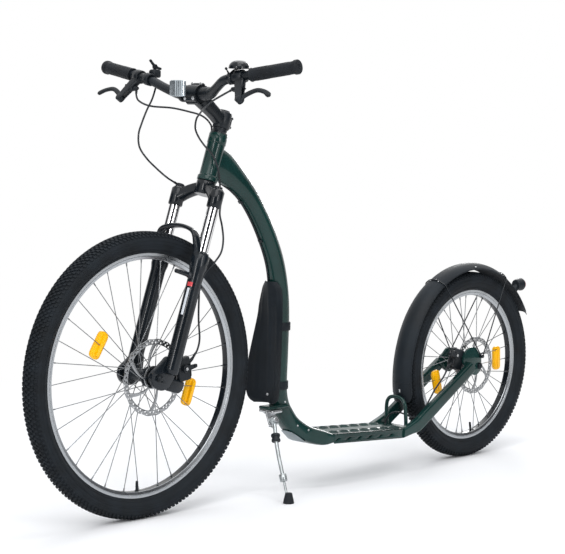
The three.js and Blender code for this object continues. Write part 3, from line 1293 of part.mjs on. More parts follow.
add(bike, 'bell', bell(), black, 0.25, 0.4);
function bellStriker() {
  const foot = barPoint(bellBracketPlace);
  const up = point(Math.cos(strikerTilt), 0, Math.sin(strikerTilt));
  const base = foot.clone().addScaledVector(up, bellBracketRadius + gap);
  const tip = base.clone().addScaledVector(up, strikerLength);
  const ball = new THREE.IcosahedronGeometry(strikerRadius, 0);
  return join(rod(base, tip, strikerRadius / 2, 8), moved(solid(ball), new THREE.Matrix4().setPosition(tip)));
}
add(bike, 'bell_striker', bellStriker(), grey, 0.3, 0.8);

// Front reflector on its bracket
const reflectorCentre = point(barCentre.x + frontReflectorReach, frontReflectorPlace,
  barCentre.z + frontReflectorRise);
function frontReflector() {
  const acrossShares = [-1, -0.6, -0.2, 0.2, 0.6, 1];
  return loft(acrossShares.map((w) => {
    const y = reflectorCentre.y + (w * frontReflectorWidth) / 2;
    const back = reflectorCentre.x - frontReflectorDepth / 2;
    const front = back + frontReflectorDepth - frontReflectorSag * w * w;
    const half = (frontReflectorHeight / 2) * (1 - 0.12 * w ** 6);
    return [point(back, y, reflectorCentre.z - half), point(front, y, reflectorCentre.z - half),
      point(front, y, reflectorCentre.z + half), point(back, y, reflectorCentre.z + half)];
  }));
}
function reflectorBracket() {
  const at = (w) => point(barCentre.x, bracketPlace + (w * bracketWidth) / 2, barCentre.z);
  const ring = rod(at(-1), at(1), barClampRadius + bracketWall, 12);
  const start = at(0);
  start.x += barClampRadius;
  const end = point(reflectorCentre.x, bracketPlace, reflectorCentre.z);
  const ahead = shift(box(4 * bracketWidth, 4 * bracketWidth, 4 * bracketWidth),
    reflectorCentre.x - frontReflectorDepth / 2 - gap + 2 * bracketWidth, bracketPlace, reflectorCentre.z);
  const arm = sweep([[start, bracketWidth / 2, bracketWall], [end, bracketWidth / 2, bracketWall]], axisY, 4, 8);
  return cut(join(ring, arm), barSpace, ahead);
}
add(bike, 'front_reflector', frontReflector(), clear, 0.1, 0.2);
add(bike, 'front_reflector_bracket', reflectorBracket(), black, 0.5, 0);

// Lockout remote on the bar, and its thumb lever
const remoteCentre = barPoint(remotePlace);
const remoteTop = remoteCentre.clone().add(point(-remoteBack, 0, remoteBodyLift));
function lockoutRemote() {
  const ring = rod(barPoint(remotePlace - remoteWidth / 2), barPoint(remotePlace + remoteWidth / 2), remoteRadius, 16);
  const body = shift(box(remoteBody, remoteWidth, remoteBody * 0.8), remoteTop.x, remoteTop.y, remoteTop.z);
  return cut(join(ring, body), barSpace, lockoutCableSpace);
}
function lockoutLever() {
  const hubRadius = thumbWidth * 0.8;
  const pivot = remoteTop.clone();
  pivot.z += remoteBody * 0.4 + hubRadius + gap;
  const end = (w) => pivot.clone().setY(pivot.y + (w * thumbThickness) / 2);
  const hubBody = rod(end(-1), end(1), hubRadius, 12);
  const arm = (angle, length) => {
    const tip = pivot.clone().add(point(length * Math.cos(angle), 0, length * Math.sin(angle)));
    return sweep([[pivot, thumbThickness / 2, thumbWidth / 2], [tip, thumbThickness / 2, thumbWidth / 3]],
      axisY, 4, 8);
  };
  return join(hubBody, arm(thumbAngle, thumbLength * 0.75), arm(releaseAngle, thumbLength * 0.65));
}
add(bike, 'lockout_remote', lockoutRemote(), black, 0.5, 0.1);
add(bike, 'lockout_lever', lockoutLever(), black, 0.5, 0.1);

// Kickstand: it folds about an axis that takes the foot from the ground to beside the deck
const standPivot = point(standPivotX, standPivotY, standPivotZ);
const groundUp = point(0, -Math.sin(leanAngle), Math.cos(leanAngle));
const standFoot = point(standFootX, standFootY, standFootY * Math.tan(leanAngle) - standSink);
const foldedFoot = point(standFoldedX, standFoldedY, standFoldedZ);
const standDown = standFoot.clone().sub(standPivot);
const standAxis = standDown.clone().cross(foldedFoot.sub(standPivot)).normalize();
const springHead = point(springHeadX, springHeadY, springHeadZ);
const springFoot = point(springFootX, springFootY, springFootZ);
const springAlong = springFoot.clone().sub(springHead).normalize();
const standKnee = standPivot.clone().addScaledVector(standDown, kneeShare).addScaledVector(axisX, kneeBow);
const standTop = standPivot.clone().addScaledVector(standDown, collarShare).addScaledVector(axisX, collarBow);
const lowerAlong = standFoot.clone().sub(standKnee).normalize();
const alongLower = (distance) => standKnee.clone().addScaledVector(lowerAlong, distance);
const clampEnd = standKnee.distanceTo(standFoot) * clampShare;

function standBracket() {
  const flange = shift(box(standTabLength, 2.6 * standTabHalfWidth, standFlange),
    frames[10].centre.x + tubeRadius + standTabLength / 2, standTabHalfWidth,
    standTabPlace - standTabThickness / 2 - gap - standFlange / 2);
  const inner = (distance) => standPivot.clone().addScaledVector(standAxis, -standEyeThickness / 2 - gap - distance);
  const cheekUp = axisZ.clone().addScaledVector(standAxis, -axisZ.dot(standAxis)).normalize();
  const cheekMatrix = seat(inner(standPlate / 2).addScaledVector(cheekUp, cheekLift), cheekUp.clone().cross(standAxis).negate(), cheekUp);
  const cheek = moved(box(cheekWidth, standPlate, cheekHeight), cheekMatrix);
  const outer = (distance) => standPivot.clone().addScaledVector(standAxis, standEyeThickness / 2 + gap + distance);
  const bolt = rod(inner(standPlate / 2), outer(standPlate / 2), standBoltRadius, 10);
  const head = rod(outer(0), outer(standPlate), standBoltRadius * 1.7, 12);
  return join(flange, cheek, bolt, head);
}
add(bike, 'stand_bracket', standBracket(), silver, 0.45, 0.9);

function standLeg() {
  const eyeEnd = (s) => standPivot.clone().addScaledVector(standAxis, (s * standEyeThickness) / 2);
  const eye = rod(eyeEnd(-1), eyeEnd(1), standEyeRadius, 12);
  const boltSpace = rod(eyeEnd(-1.2), eyeEnd(1.2), standBoltRadius + gap, 10);
  const tubeEnd = alongLower(clampEnd);
  const upper = sweep([[standPivot, standLegRadius, standLegRadius], [standTop, standLegRadius, standLegRadius],
    [standKnee, standLegRadius, standLegRadius], [tubeEnd, standLegRadius, standLegRadius]], axisX, 2, 10);
  const clamp = rod(alongLower(clampEnd - standClampLength), tubeEnd, standClampRadius, 12);
  const fold = standTop.clone().sub(standPivot).normalize();
  const collar = rod(standTop.clone().addScaledVector(fold, -standCollarLength / 2),
    standTop.clone().addScaledVector(fold, standCollarLength / 2), standCollarRadius, 12);
  const bore = rod(alongLower(standLegRadius * 2), alongLower(clampEnd + overrun), standLowerRadius + gap, 8);
  const lug = rod(springFoot.clone().addScaledVector(springAlong, gap + springWire),
    springFoot.clone().addScaledVector(springAlong, gap), springRadius * 1.2, 10);
  const link = rod(springFoot.clone().addScaledVector(springAlong, gap + springWire),
    standPivot.clone().addScaledVector(standDown, lugShare), springWire * 1.4, 6);
  return cut(join(eye, upper, clamp, collar, lug, link), boltSpace, bore);
}
function standLower() {
  const top = alongLower(standLegRadius * 2 + standSlide);
  const end = standFoot.clone().addScaledVector(lowerAlong, -standFootHeight * 0.4);
  return rod(top, end, standLowerRadius, 8);
}
function standRubber() {
  const sole = standFoot.clone();
  const top = sole.clone().addScaledVector(groundUp, standFootHeight);
  const body = rod(sole, top, standFootRadius, 12, standFootRadius * 0.62);
  const socket = rod(alongLower(clampEnd), standFoot.clone().addScaledVector(lowerAlong, gap - standFootHeight * 0.4),
    standLowerRadius + gap, 8);
  return cut(body, socket);
}

// Stand spring: one wire wound round its own axis, from under the flange to the leg's lug
function springPoints() {
  const length = springHead.distanceTo(springFoot);
  const rise = (length - springWire) / (springCurls * curlSteps);
  const across = springAlong.clone().cross(axisY).normalize();
  const beside = springAlong.clone().cross(across);
  const count = springCurls * curlSteps;
  const points = [];
  for (let i = 0; i <= count; i++) {
    const angle = (2 * Math.PI * i) / curlSteps;
    points.push(springHead.clone().addScaledVector(springAlong, springWire / 2 + i * rise)
      .addScaledVector(across, springRadius * Math.cos(angle))
      .addScaledVector(beside, springRadius * Math.sin(angle)));
  }
  const first = points[0].clone().sub(points[1]).setLength(springWire).projectOnPlane(springAlong).add(points[0]);
  const last = points.at(-1).clone().sub(points.at(-2)).setLength(springWire).projectOnPlane(springAlong)
    .add(points.at(-1));
  return [first, ...points, last];
}
function standSpring() {
  const points = springPoints();
  let least = Infinity;
  for (let i = 0; i < points.length; i++) {
    for (let j = i + curlSteps / 2; j < points.length; j++) {
      least = Math.min(least, points[i].distanceTo(points[j]) - springWire);
    }
  }
  console.log(`stand spring: least gap between its curls ${least.toFixed(2)} mm`);
  const rings = points.map((place, i) => {
    const before = points[Math.max(i - 1, 0)];
    const after = points[Math.min(i + 1, points.length - 1)];
    const along = after.clone().sub(before).normalize();
    const across = springAlong.clone().cross(along).normalize();
    return roundSection(place, across, along.cross(across), springWire / 2, springWire / 2, 2, 5);
  });
  return loft(rings);
}
add(bike, 'stand_leg', standLeg(), silver, 0.35, 0.9);
add(bike, 'stand_lower', standLower(), silver, 0.3, 0.9);
add(bike, 'stand_foot', standRubber(), rubber, 0.8, 0);
add(bike, 'stand_spring', standSpring(), grey, 0.35, 0.9);

// The bike leans on its stand, stands on the ground and sits centred over the origin
bike.rotation.x = -leanAngle;
model.updateMatrixWorld(true);
const bounds = new THREE.Box3().setFromObject(model, true);
bike.position.set(-(bounds.min.x + bounds.max.x) / 2, -(bounds.min.y + bounds.max.y) / 2, -bounds.min.z);
export default model;
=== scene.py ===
import bpy
import bmesh
import numpy as np
from math import cos, exp, pi, radians, sin, tan
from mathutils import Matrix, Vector


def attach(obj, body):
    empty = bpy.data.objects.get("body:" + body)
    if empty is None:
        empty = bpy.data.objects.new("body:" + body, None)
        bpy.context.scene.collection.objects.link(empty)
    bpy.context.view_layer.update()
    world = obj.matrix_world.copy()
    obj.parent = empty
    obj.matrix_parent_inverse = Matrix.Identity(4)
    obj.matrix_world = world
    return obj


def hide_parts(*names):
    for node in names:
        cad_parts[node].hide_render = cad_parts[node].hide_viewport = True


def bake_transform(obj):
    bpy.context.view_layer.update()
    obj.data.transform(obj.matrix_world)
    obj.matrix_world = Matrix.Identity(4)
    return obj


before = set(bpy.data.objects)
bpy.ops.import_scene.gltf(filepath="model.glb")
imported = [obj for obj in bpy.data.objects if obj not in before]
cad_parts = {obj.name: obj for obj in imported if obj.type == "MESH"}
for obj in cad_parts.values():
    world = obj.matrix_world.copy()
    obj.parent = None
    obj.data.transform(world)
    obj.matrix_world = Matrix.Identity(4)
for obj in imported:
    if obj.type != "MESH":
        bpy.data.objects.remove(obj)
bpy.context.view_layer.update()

# --- sizes, in mm, in the upright bike's frame
LEAN = radians(1.54)
SHIFT = (-641.000, -27.972, 0.305)
WHEELBASE = 1205
HEAD_ANGLE = radians(71.5)
AXLE_AHEAD, AXLE_DROP = 48, 486.5  # the front axle, ahead of the steering axis and below the crown
LEG_AHEAD, LEG_OUT = 19.5, 66  # a fork leg, ahead of the steering axis and out from the middle
RIM_DROP = 50  # from the tread to the rim's edge
HUB_FLANGE_R = 24
SPOKES = 32
ROTOR_ARMS, ROTOR_HOLES, ROTOR_BOLT_R = 6, 36, 22
REAR_NUT = 49.6
TUBE_HALF = 23.5
BAR_BORE = 11.3
HOSE_R, FERRULE_R = 2.3, 2.9
LEVER_AT = 172
WHEEL_SIDES = 160
SIDES = (("left", 1), ("right", -1))
FRONT_R = 335
REAR_R = 258
DECK_FRONT, DECK_REAR, DECK_TAIL, DECK_TOP = 601, 330, 274, 137
DECK_SLOPE = radians(3.5)
DECK_HALF = 62
GAP = 0.3
DECK_DEPTH = 25
FENDER_R, FENDER_HALF, FENDER_START = 283, 33, radians(-16)
BAR_REACH, BAR_RISE = 30, 33.5


def P(*xyz):
    """A place or a direction: X ahead, Y to the left, Z up."""
    return np.array(xyz, float)


def polar(radius, angle, y=0):
    """A place at a radius and an angle round an axle."""
    return P(radius * cos(angle), y, radius * sin(angle))


ORIGIN, X, Y, Z = P(0, 0, 0), P(1, 0, 0), P(0, 1, 0), P(0, 0, 1)
FORWARD = P(sin(HEAD_ANGLE), 0, cos(HEAD_ANGLE))
STEER = P(-cos(HEAD_ANGLE), 0, sin(HEAD_ANGLE))
FRONT = P(WHEELBASE, 0, FRONT_R)
REAR = P(0, 0, REAR_R)
CROWN = FRONT - FORWARD * AXLE_AHEAD + STEER * AXLE_DROP
DECK_ALONG = polar(1, DECK_SLOPE)
DECK_UP = P(-sin(DECK_SLOPE), 0, cos(DECK_SLOPE))


def turns(count):
    """Angles evenly round a circle."""
    return [2 * pi * k / count for k in range(count)]


def spot(radius, angle):
    return radius * cos(angle), radius * sin(angle)


def unit(v):
    return v / np.linalg.norm(v)


def lerp(a, b, t):
    return a + (b - a) * t


def in_fork(p):
    """From the fork's own directions, about the crown race, to the bike's."""
    p = np.atleast_2d(np.asarray(p, float))
    return CROWN + p[:, :1] * FORWARD + p[:, 1:2] * Y + p[:, 2:3] * STEER


def fork_point(x, y, z):
    return in_fork([x, y, z])[0]


def on_deck(x, y, z):
    return P(DECK_FRONT, 0, DECK_TOP) + DECK_ALONG * x + Y * y + DECK_UP * z


def row(p):
    """The upright bike in mm becomes the leaning one in metres."""
    p = np.atleast_2d(p)
    c, s = cos(LEAN), sin(LEAN)
    out = np.stack([p[:, 0], p[:, 1] * c + p[:, 2] * s, p[:, 2] * c - p[:, 1] * s], 1)
    return (out + SHIFT) / 1000


# --- mesh helpers: a part is (points, faces)
def ring_faces(rings, count, closed=True):
    faces = []
    for k in range(rings - 1):
        for i in range(count if closed else count - 1):
            a, b = k * count + i, k * count + (i + 1) % count
            faces.append((a, b, b + count, a + count))
    return faces


def loft(rings, caps=True):
    """A skin over closed rings of as many points each."""
    count = len(rings[0])
    points = np.concatenate([np.asarray(r, float) for r in rings])
    faces = ring_faces(len(rings), count)
    if caps:
        faces.append(tuple(reversed(range(count))))
        faces.append(tuple(range(len(points) - count, len(points))))
    return points, faces


def section(centre, across, up, half_width, half_height, squareness=2, sides=32):
    """A ring: an ellipse that grows squarer above 2."""
    t = 2 * np.pi * (np.arange(sides) + 0.5) / sides
    c = np.sign(np.cos(t)) * np.abs(np.cos(t)) ** (2 / squareness)
    s = np.sign(np.sin(t)) * np.abs(np.sin(t)) ** (2 / squareness)
    return centre + np.outer(half_width * c, across) + np.outer(half_height * s, up)


def curve(values, count):
    """Catmull-Rom through rows of numbers, evenly in the row number."""
    v = np.asarray(values, float)
    ends = np.vstack([2 * v[0] - v[1], v, 2 * v[-1] - v[-2]])
    out = []
    for t in np.linspace(0, len(v) - 1, count):
        i = min(int(t), len(v) - 2)
        u = t - i
        a, b, c, d = ends[i : i + 4]
        out.append(0.5 * (2 * b + (c - a) * u + (2 * a - 5 * b + 4 * c - d) * u * u + (3 * b - a - 3 * c + d) * u ** 3))
    return np.array(out)


def path(points, step):
    """A centripetal curve through points with one place per step of length."""
    p = np.asarray(points, float)
    p = np.vstack([2 * p[0] - p[1], p, 2 * p[-1] - p[-2]])
    out = []
    for i in range(1, len(p) - 2):
        a, b, c, d = p[i - 1 : i + 3]
        ta = 0.0
        tb = ta + np.linalg.norm(b - a) ** 0.5
        tc = tb + np.linalg.norm(c - b) ** 0.5
        td = tc + np.linalg.norm(d - c) ** 0.5
        n = max(2, int(np.linalg.norm(c - b) / step))
        for t in np.linspace(tb, tc, n, endpoint=False):
            ab = (tb - t) / (tb - ta) * a + (t - ta) / (tb - ta) * b
            bc = (tc - t) / (tc - tb) * b + (t - tb) / (tc - tb) * c
            cd = (td - t) / (td - tc) * c + (t - tc) / (td - tc) * d
            abc = (tc - t) / (tc - ta) * ab + (t - ta) / (tc - ta) * bc
            bcd = (td - t) / (td - tb) * bc + (t - tb) / (td - tb) * cd
            out.append((tc - t) / (tc - tb) * abc + (t - tb) / (tc - tb) * bcd)
    out.append(p[-2])
    return np.array(out)


def tube(points, radius, sides=12, step=3.0, smooth=True):
    """A round bar along a curve; radius is one number or one per point of the curve."""
    line = path(points, step) if smooth else np.asarray(points, float)
    radii = np.broadcast_to(radius, len(line)) if np.ndim(radius) == 0 else np.interp(
        np.linspace(0, 1, len(line)), np.linspace(0, 1, len(radius)), radius)
    along = np.gradient(line, axis=0)
    side = unit(np.cross(along[0], Z if abs(unit(along[0])[2]) < 0.9 else X))
    rings = []
    for place, direction, r in zip(line, along, radii):
        direction = unit(direction)
        side = unit(side - direction * side.dot(direction))
        rings.append(section(place, side, np.cross(direction, side), r, r, 2, sides))
    return loft(rings)


def sweep(rows, across, squareness=2, sides=32, count=0):
    """A skin through (centre, half width along across, half height) rows, made smoother by count."""
    flat = np.array([[*c, w, h] for c, w, h in rows], float)
    if count:
        flat = curve(flat, count)
    rings = []
    for i, r in enumerate(flat):
        along = unit(flat[min(i + 1, len(flat) - 1)][:3] - flat[max(i - 1, 0)][:3])
        up = unit(np.cross(along, across))
        rings.append(section(r[:3], np.cross(up, along), up, r[3], r[4], squareness, sides))
    return loft(rings)


def turned(profile, place, axis, sides=48):
    """A profile of (radius, height) turned about an axis from a place; ends on the axis are closed."""
    axis = unit(np.asarray(axis, float))
    side = unit(np.cross(axis, Y if abs(axis[1]) < 0.9 else X))
    other = np.cross(axis, side)
    t = 2 * np.pi * np.arange(sides) / sides
    round_ = np.outer(np.cos(t), side) + np.outer(np.sin(t), other)
    rings = [place + axis * h + round_ * max(r, 0.01) for r, h in profile]
    return loft(rings, caps=profile[0] != profile[-1])


def rod(a, b, radius, sides=28, end_radius=None, edge=0.6):
    a, b = np.asarray(a, float), np.asarray(b, float)
    length = np.linalg.norm(b - a)
    r2 = radius if end_radius is None else end_radius
    edge = min(edge, length / 3, radius / 2, r2 / 2)
    return turned([(radius - edge, 0), (radius, edge), (r2, length - edge), (r2 - edge, length)], a, b - a, sides)


def ball(centre, radius, sides=20):
    t = np.linspace(-np.pi / 2, np.pi / 2, sides // 2 + 1)
    return turned([(radius * cos(u), radius * sin(u)) for u in t], centre, Z, sides)


def block(centre, x, y, z, size, edge=1.5):
    """A box with rounded edges, along three directions."""
    hx, hy, hz = (s / 2 for s in size)
    edge = min(edge, hx * 0.9, hy * 0.9, hz * 0.9)
    rings = []
    for k, inset in ((-hz, edge), (-hz + edge, 0), (hz - edge, 0), (hz, edge)):
        ring = []
        for sx, sy in ((1, 1), (-1, 1), (-1, -1), (1, -1)):
            turns = range(4) if sx * sy > 0 else range(3, -1, -1)
            for q in turns:
                t = q / 3 * pi / 2
                cx = sx * (hx - edge - inset * 0.3 + (edge - inset * 0.4) * cos(t))
                cy = sy * (hy - edge - inset * 0.3 + (edge - inset * 0.4) * sin(t))
                ring.append(centre + x * cx + y * cy + z * k)
        rings.append(ring)
    return loft(rings)


def rounded(outline, radius, steps=5):
    """Corners of a closed 2-D outline cut to arcs."""
    pts = [np.array(p, float) for p in outline]
    out = []
    for i, p in enumerate(pts):
        before, after = pts[i - 1] - p, pts[(i + 1) % len(pts)] - p
        r = min(radius, np.linalg.norm(before) * 0.45, np.linalg.norm(after) * 0.45)
        a, b = p + unit(before) * r, p + unit(after) * r
        for t in np.linspace(0, 1, steps):
            out.append((1 - t) ** 2 * a + 2 * t * (1 - t) * p + t * t * b)
    return out


def sheet_metal(outline, thickness, holes=(), edge=0.4):
    """A flat plate in a local X, Y plane with holes, as thick as thickness about zero."""
    data = bpy.data.curves.new("outline", "CURVE")
    data.dimensions = "2D"
    data.fill_mode = "BOTH"
    data.extrude = thickness / 2 - edge
    data.bevel_depth = edge
    data.bevel_resolution = 1
    data.offset = -edge
    for loop in (outline, *holes):
        spline = data.splines.new("POLY")
        spline.points.add(len(loop) - 1)
        for point, (u, v) in zip(spline.points, loop):
            point.co = (u, v, 0, 1)
        spline.use_cyclic_u = True
    holder = bpy.data.objects.new("outline", data)
    bpy.context.scene.collection.objects.link(holder)
    mesh = bpy.data.meshes.new_from_object(holder.evaluated_get(bpy.context.evaluated_depsgraph_get()))
    points = np.array([v.co for v in mesh.vertices])
    faces = [tuple(f.vertices) for f in mesh.polygons]
    bpy.data.objects.remove(holder)
    bpy.data.meshes.remove(mesh)
    bpy.data.curves.remove(data)
    return points, faces


def seated(part, place, x, y, z):
    points, faces = part
    return place + points[:, :1] * x + points[:, 1:2] * y + points[:, 2:3] * z, faces


def plate(outline, thickness, place, holes=(), edge=0.5):
    """A plate whose outline is in X and Z and whose thickness is along Y."""
    return seated(sheet_metal(outline, thickness, holes, edge), np.asarray(place, float), X, Z, Y)


def circle(x, y, radius, sides):
    t = 2 * np.pi * np.arange(sides) / sides
    return list(zip(x + radius * np.cos(t), y + radius * np.sin(t)))


def join(*parts):
    points, faces, start = [], [], 0
    for p, f in parts:
        points.append(np.asarray(p, float))
        faces += [tuple(i + start for i in face) for face in f]
        start += len(p)
    return np.concatenate(points), faces


def mirrored(part):
    points, faces = part
    return points * P(1, -1, 1), [tuple(reversed(f)) for f in faces]


def both_sides(half):
    """A line that ends in the middle, carried on by its mirror image."""
    return half + [p * P(1, -1, 1) for p in half[-2::-1]]


def on_side(part, side):
    return part if side > 0 else mirrored(part)


def forked(part):
    return in_fork(part[0]), part[1]


def spun(part, centre, angle):
    """A part made about the wheel's own centre, turned round the axle and moved to the wheel."""
    c, s = cos(angle), sin(angle)
    p = part[0]
    out = np.stack([p[:, 0] * c - p[:, 2] * s, p[:, 1], p[:, 0] * s + p[:, 2] * c], 1)
    return out + centre, part[1]


def hexagon(place, axis, radius, height):
    t = 2 * np.pi * np.arange(6) / 6
    axis = unit(axis)
    side = unit(np.cross(axis, Y if abs(axis[1]) < 0.9 else X))
    other = np.cross(axis, side)
    ring = np.outer(np.cos(t), side) + np.outer(np.sin(t), other)
    return loft([place + ring * radius, place + axis * height * 0.8 + ring * radius,
                 place + axis * height + ring * radius * 0.86])


def band(inner, shoulder, outer, half, flat):
    """The closed profile of a clamp band: its bore, its side faces out to the shoulder and its flat outside."""
    return [(inner, -half), (shoulder, -half), (outer, -flat), (outer, flat), (shoulder, half), (inner, half),
            (inner, -half)]


def socket_bolt(place, axis, radius, height):
    """A round-headed bolt with a socket in its head."""
    axis = unit(np.asarray(axis, float))
    return turned([(radius, 0), (radius, height * 0.6), (radius * 0.8, height), (radius * 0.5, height),
                   (radius * 0.45, height * 0.45), (0, height * 0.45)], place, axis, 20)


def shown(name, points, faces, look, angle, merge=1e-6, flat=0.0):
    """An object from points in metres, with smooth faces but at edges sharper than angle, in degrees."""
    mesh = bpy.data.meshes.new(name)
    mesh.from_pydata(points, [], faces)
    mesh.validate()
    shape = bmesh.new()
    shape.from_mesh(mesh)
    bmesh.ops.remove_doubles(shape, verts=shape.verts, dist=merge)
    if flat:
        bmesh.ops.dissolve_limit(shape, angle_limit=radians(flat), verts=shape.verts, edges=shape.edges)
    bmesh.ops.recalc_face_normals(shape, faces=shape.faces)
    shape.to_mesh(mesh)
    shape.free()
    for polygon in mesh.polygons:
        polygon.use_smooth = True
    mesh.set_sharp_from_angle(angle=radians(angle))
    mesh.materials.append(look)
    made = bpy.data.objects.new(name, mesh)
    bpy.context.scene.collection.objects.link(made)
    return made


def piece(name, part, look, body, nodes=(), angle=38):
    """A part becomes an object attached to its body, with the CAD nodes it stands for hidden; one given no body is left
    unattached here.
    """
    points, faces = part
    made = shown(name, row(points).tolist(), faces, look, angle)
    if body:
        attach(made, body)
    if nodes:
        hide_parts(*nodes)
    return made


# --- materials: node patterns with bump, no images
def feed(tree, node, inputs):
    """Set a node's inputs, by name or number: a socket is linked, anything else is its value."""
    for key, value in inputs.items():
        if isinstance(value, bpy.types.NodeSocket):
            tree.links.new(value, node.inputs[key])
        else:
            node.inputs[key].default_value = value


def new_node(tree, kind, inputs=None, **settings):
    made = tree.nodes.new("ShaderNode" + kind)
    for key, value in settings.items():
        setattr(made, key, value)
    feed(tree, made, inputs or {})
    return made


def material(name, colour, rough, metal=0.0, coat=0.0, vary=0.12, scale=60.0, bump=0.05, grain=900.0,
             stretch=(1, 1, 1), rough_vary=0.08, cells=False, spec=0.5):
    """One finish: a colour and a roughness that drift a little, and a fine bump."""
    made = bpy.data.materials.new(name)
    made.use_nodes = True
    tree = made.node_tree
    place = new_node(tree, "TexCoord").outputs["Object"]
    warp = new_node(tree, "Mapping", {"Vector": place, "Scale": stretch}).outputs["Vector"]
    drift = new_node(tree, "TexNoise", {"Vector": warp, "Scale": scale, "Detail": 4}).outputs["Fac"]
    ramp = new_node(tree, "ValToRGB", {"Fac": drift})
    for stop, (position, share) in enumerate(((0.35, 1 - vary), (0.65, 1 + vary))):
        ramp.color_ramp.elements[stop].position = position
        ramp.color_ramp.elements[stop].color = (*(min(1, c * share) for c in colour), 1)
    span = new_node(tree, "MapRange", {"Value": drift, "To Min": max(0.02, rough - rough_vary),
                                       "To Max": min(1, rough + rough_vary)})
    pattern, height = ("TexVoronoi", "Distance") if cells else ("TexNoise", "Fac")
    fine = new_node(tree, pattern, {"Vector": warp, "Scale": grain}).outputs[height]
    relief = new_node(tree, "Bump", {"Strength": bump, "Distance": 0.0005, "Height": fine})
    feed(tree, tree.nodes["Principled BSDF"], {
        "Base Color": ramp.outputs["Color"], "Roughness": span.outputs["Result"], "Normal": relief.outputs["Normal"],
        "Metallic": metal, "Specular IOR Level": spec, "Coat Weight": coat, "Coat Roughness": 0.05})
    return made


PAINT = material("frame_green", (0.0055, 0.030, 0.027), 0.24, coat=0.3, vary=0.25, scale=8, bump=0.02, grain=700,
                 spec=0.22)
ROUGH_PAINT = material("deck_green", (0.008, 0.030, 0.028), 0.5, vary=0.3, scale=26, bump=0.35, spec=0.3)
BLACK = material("black_gloss", (0.0055, 0.0085, 0.012), 0.24, coat=0.25, vary=0.25, scale=12, bump=0.02, grain=800,
                 spec=0.25)
SATIN = material("black_satin", (0.0065, 0.0095, 0.013), 0.38, vary=0.3, scale=20, grain=1200, spec=0.3)
PLASTIC = material("black_plastic", (0.0075, 0.0105, 0.0145), 0.46, vary=0.3, scale=18, bump=0.12, grain=1600,
                   spec=0.27)
MATTE = material("black_shield", (0.0065, 0.010, 0.014), 0.52, vary=0.3, scale=9, bump=0.1, grain=1200, spec=0.22)
CHROME = material("chrome", (0.86, 0.86, 0.87), 0.08, metal=1.0, vary=0.03, scale=30, bump=0.01, rough_vary=0.03)
RIM = material("rim_silver", (0.44, 0.46, 0.48), 0.27, metal=1.0, vary=0.03, scale=14, bump=0.003, grain=500,
               rough_vary=0.015)
STEEL = material("spoke_steel", (0.22, 0.23, 0.24), 0.3, metal=1.0, vary=0.15, bump=0.02)
DISC = material("disc_steel", (0.34, 0.35, 0.36), 0.34, metal=1.0, vary=0.1, scale=90, bump=0.06, grain=1800)
ZINC = material("stand_zinc", (0.42, 0.45, 0.46), 0.36, metal=0.9, vary=0.2, scale=55, grain=700, rough_vary=0.12)
BOLT = material("bolt_steel", (0.52, 0.53, 0.54), 0.28, metal=1.0, vary=0.1, scale=80)
SCUFF = material("scuff_plate", (0.27, 0.31, 0.33), 0.42, metal=0.7, vary=0.15, scale=40, bump=0.15, grain=500,
                 rough_vary=0.12)
TYRE = material("tyre_rubber", (0.0075, 0.0105, 0.0140), 0.7, vary=0.3, scale=25, bump=0.25, grain=700, spec=0.22)
RUBBER = material("grip_rubber", (0.0085, 0.011, 0.0145), 0.6, vary=0.25, scale=30, bump=0.3, grain=1100, spec=0.25)
JACKET = material("cable_jacket", (0.011, 0.014, 0.018), 0.36, vary=0.3, scale=40, spec=0.35)
AMBER = material("amber", (1.0, 0.50, 0.002), 0.34, coat=0.15, vary=0.04, scale=25, bump=0.02, grain=420, spec=0.3)
# The lens colour drifts in thin vertical streaks, with the noise stretched along Y: painted reflection streaks. The
# same stretched pattern also gives the lens its fine ribbed bump.
STREAKED_LENS = material("lens_painted_streaks", (0.50, 0.56, 0.60), 0.14, metal=0.8, coat=0.5, vary=0.25, scale=70, bump=0.1, grain=300,
                stretch=(0.2, 6, 0.2))
RED = material("red_lens", (0.20, 0.005, 0.006), 0.2, coat=0.6, vary=0.3, scale=30, bump=0.3, grain=420, cells=True,
               spec=0.35)
STRIPE = material("pale_stripe", (0.64, 0.67, 0.71), 0.38, coat=0.15, vary=0.05, bump=0.03, spec=0.3)
SCARLET = material("red_stripe", (0.60, 0.055, 0.065), 0.4, coat=0.15, vary=0.08, bump=0.03, spec=0.3)


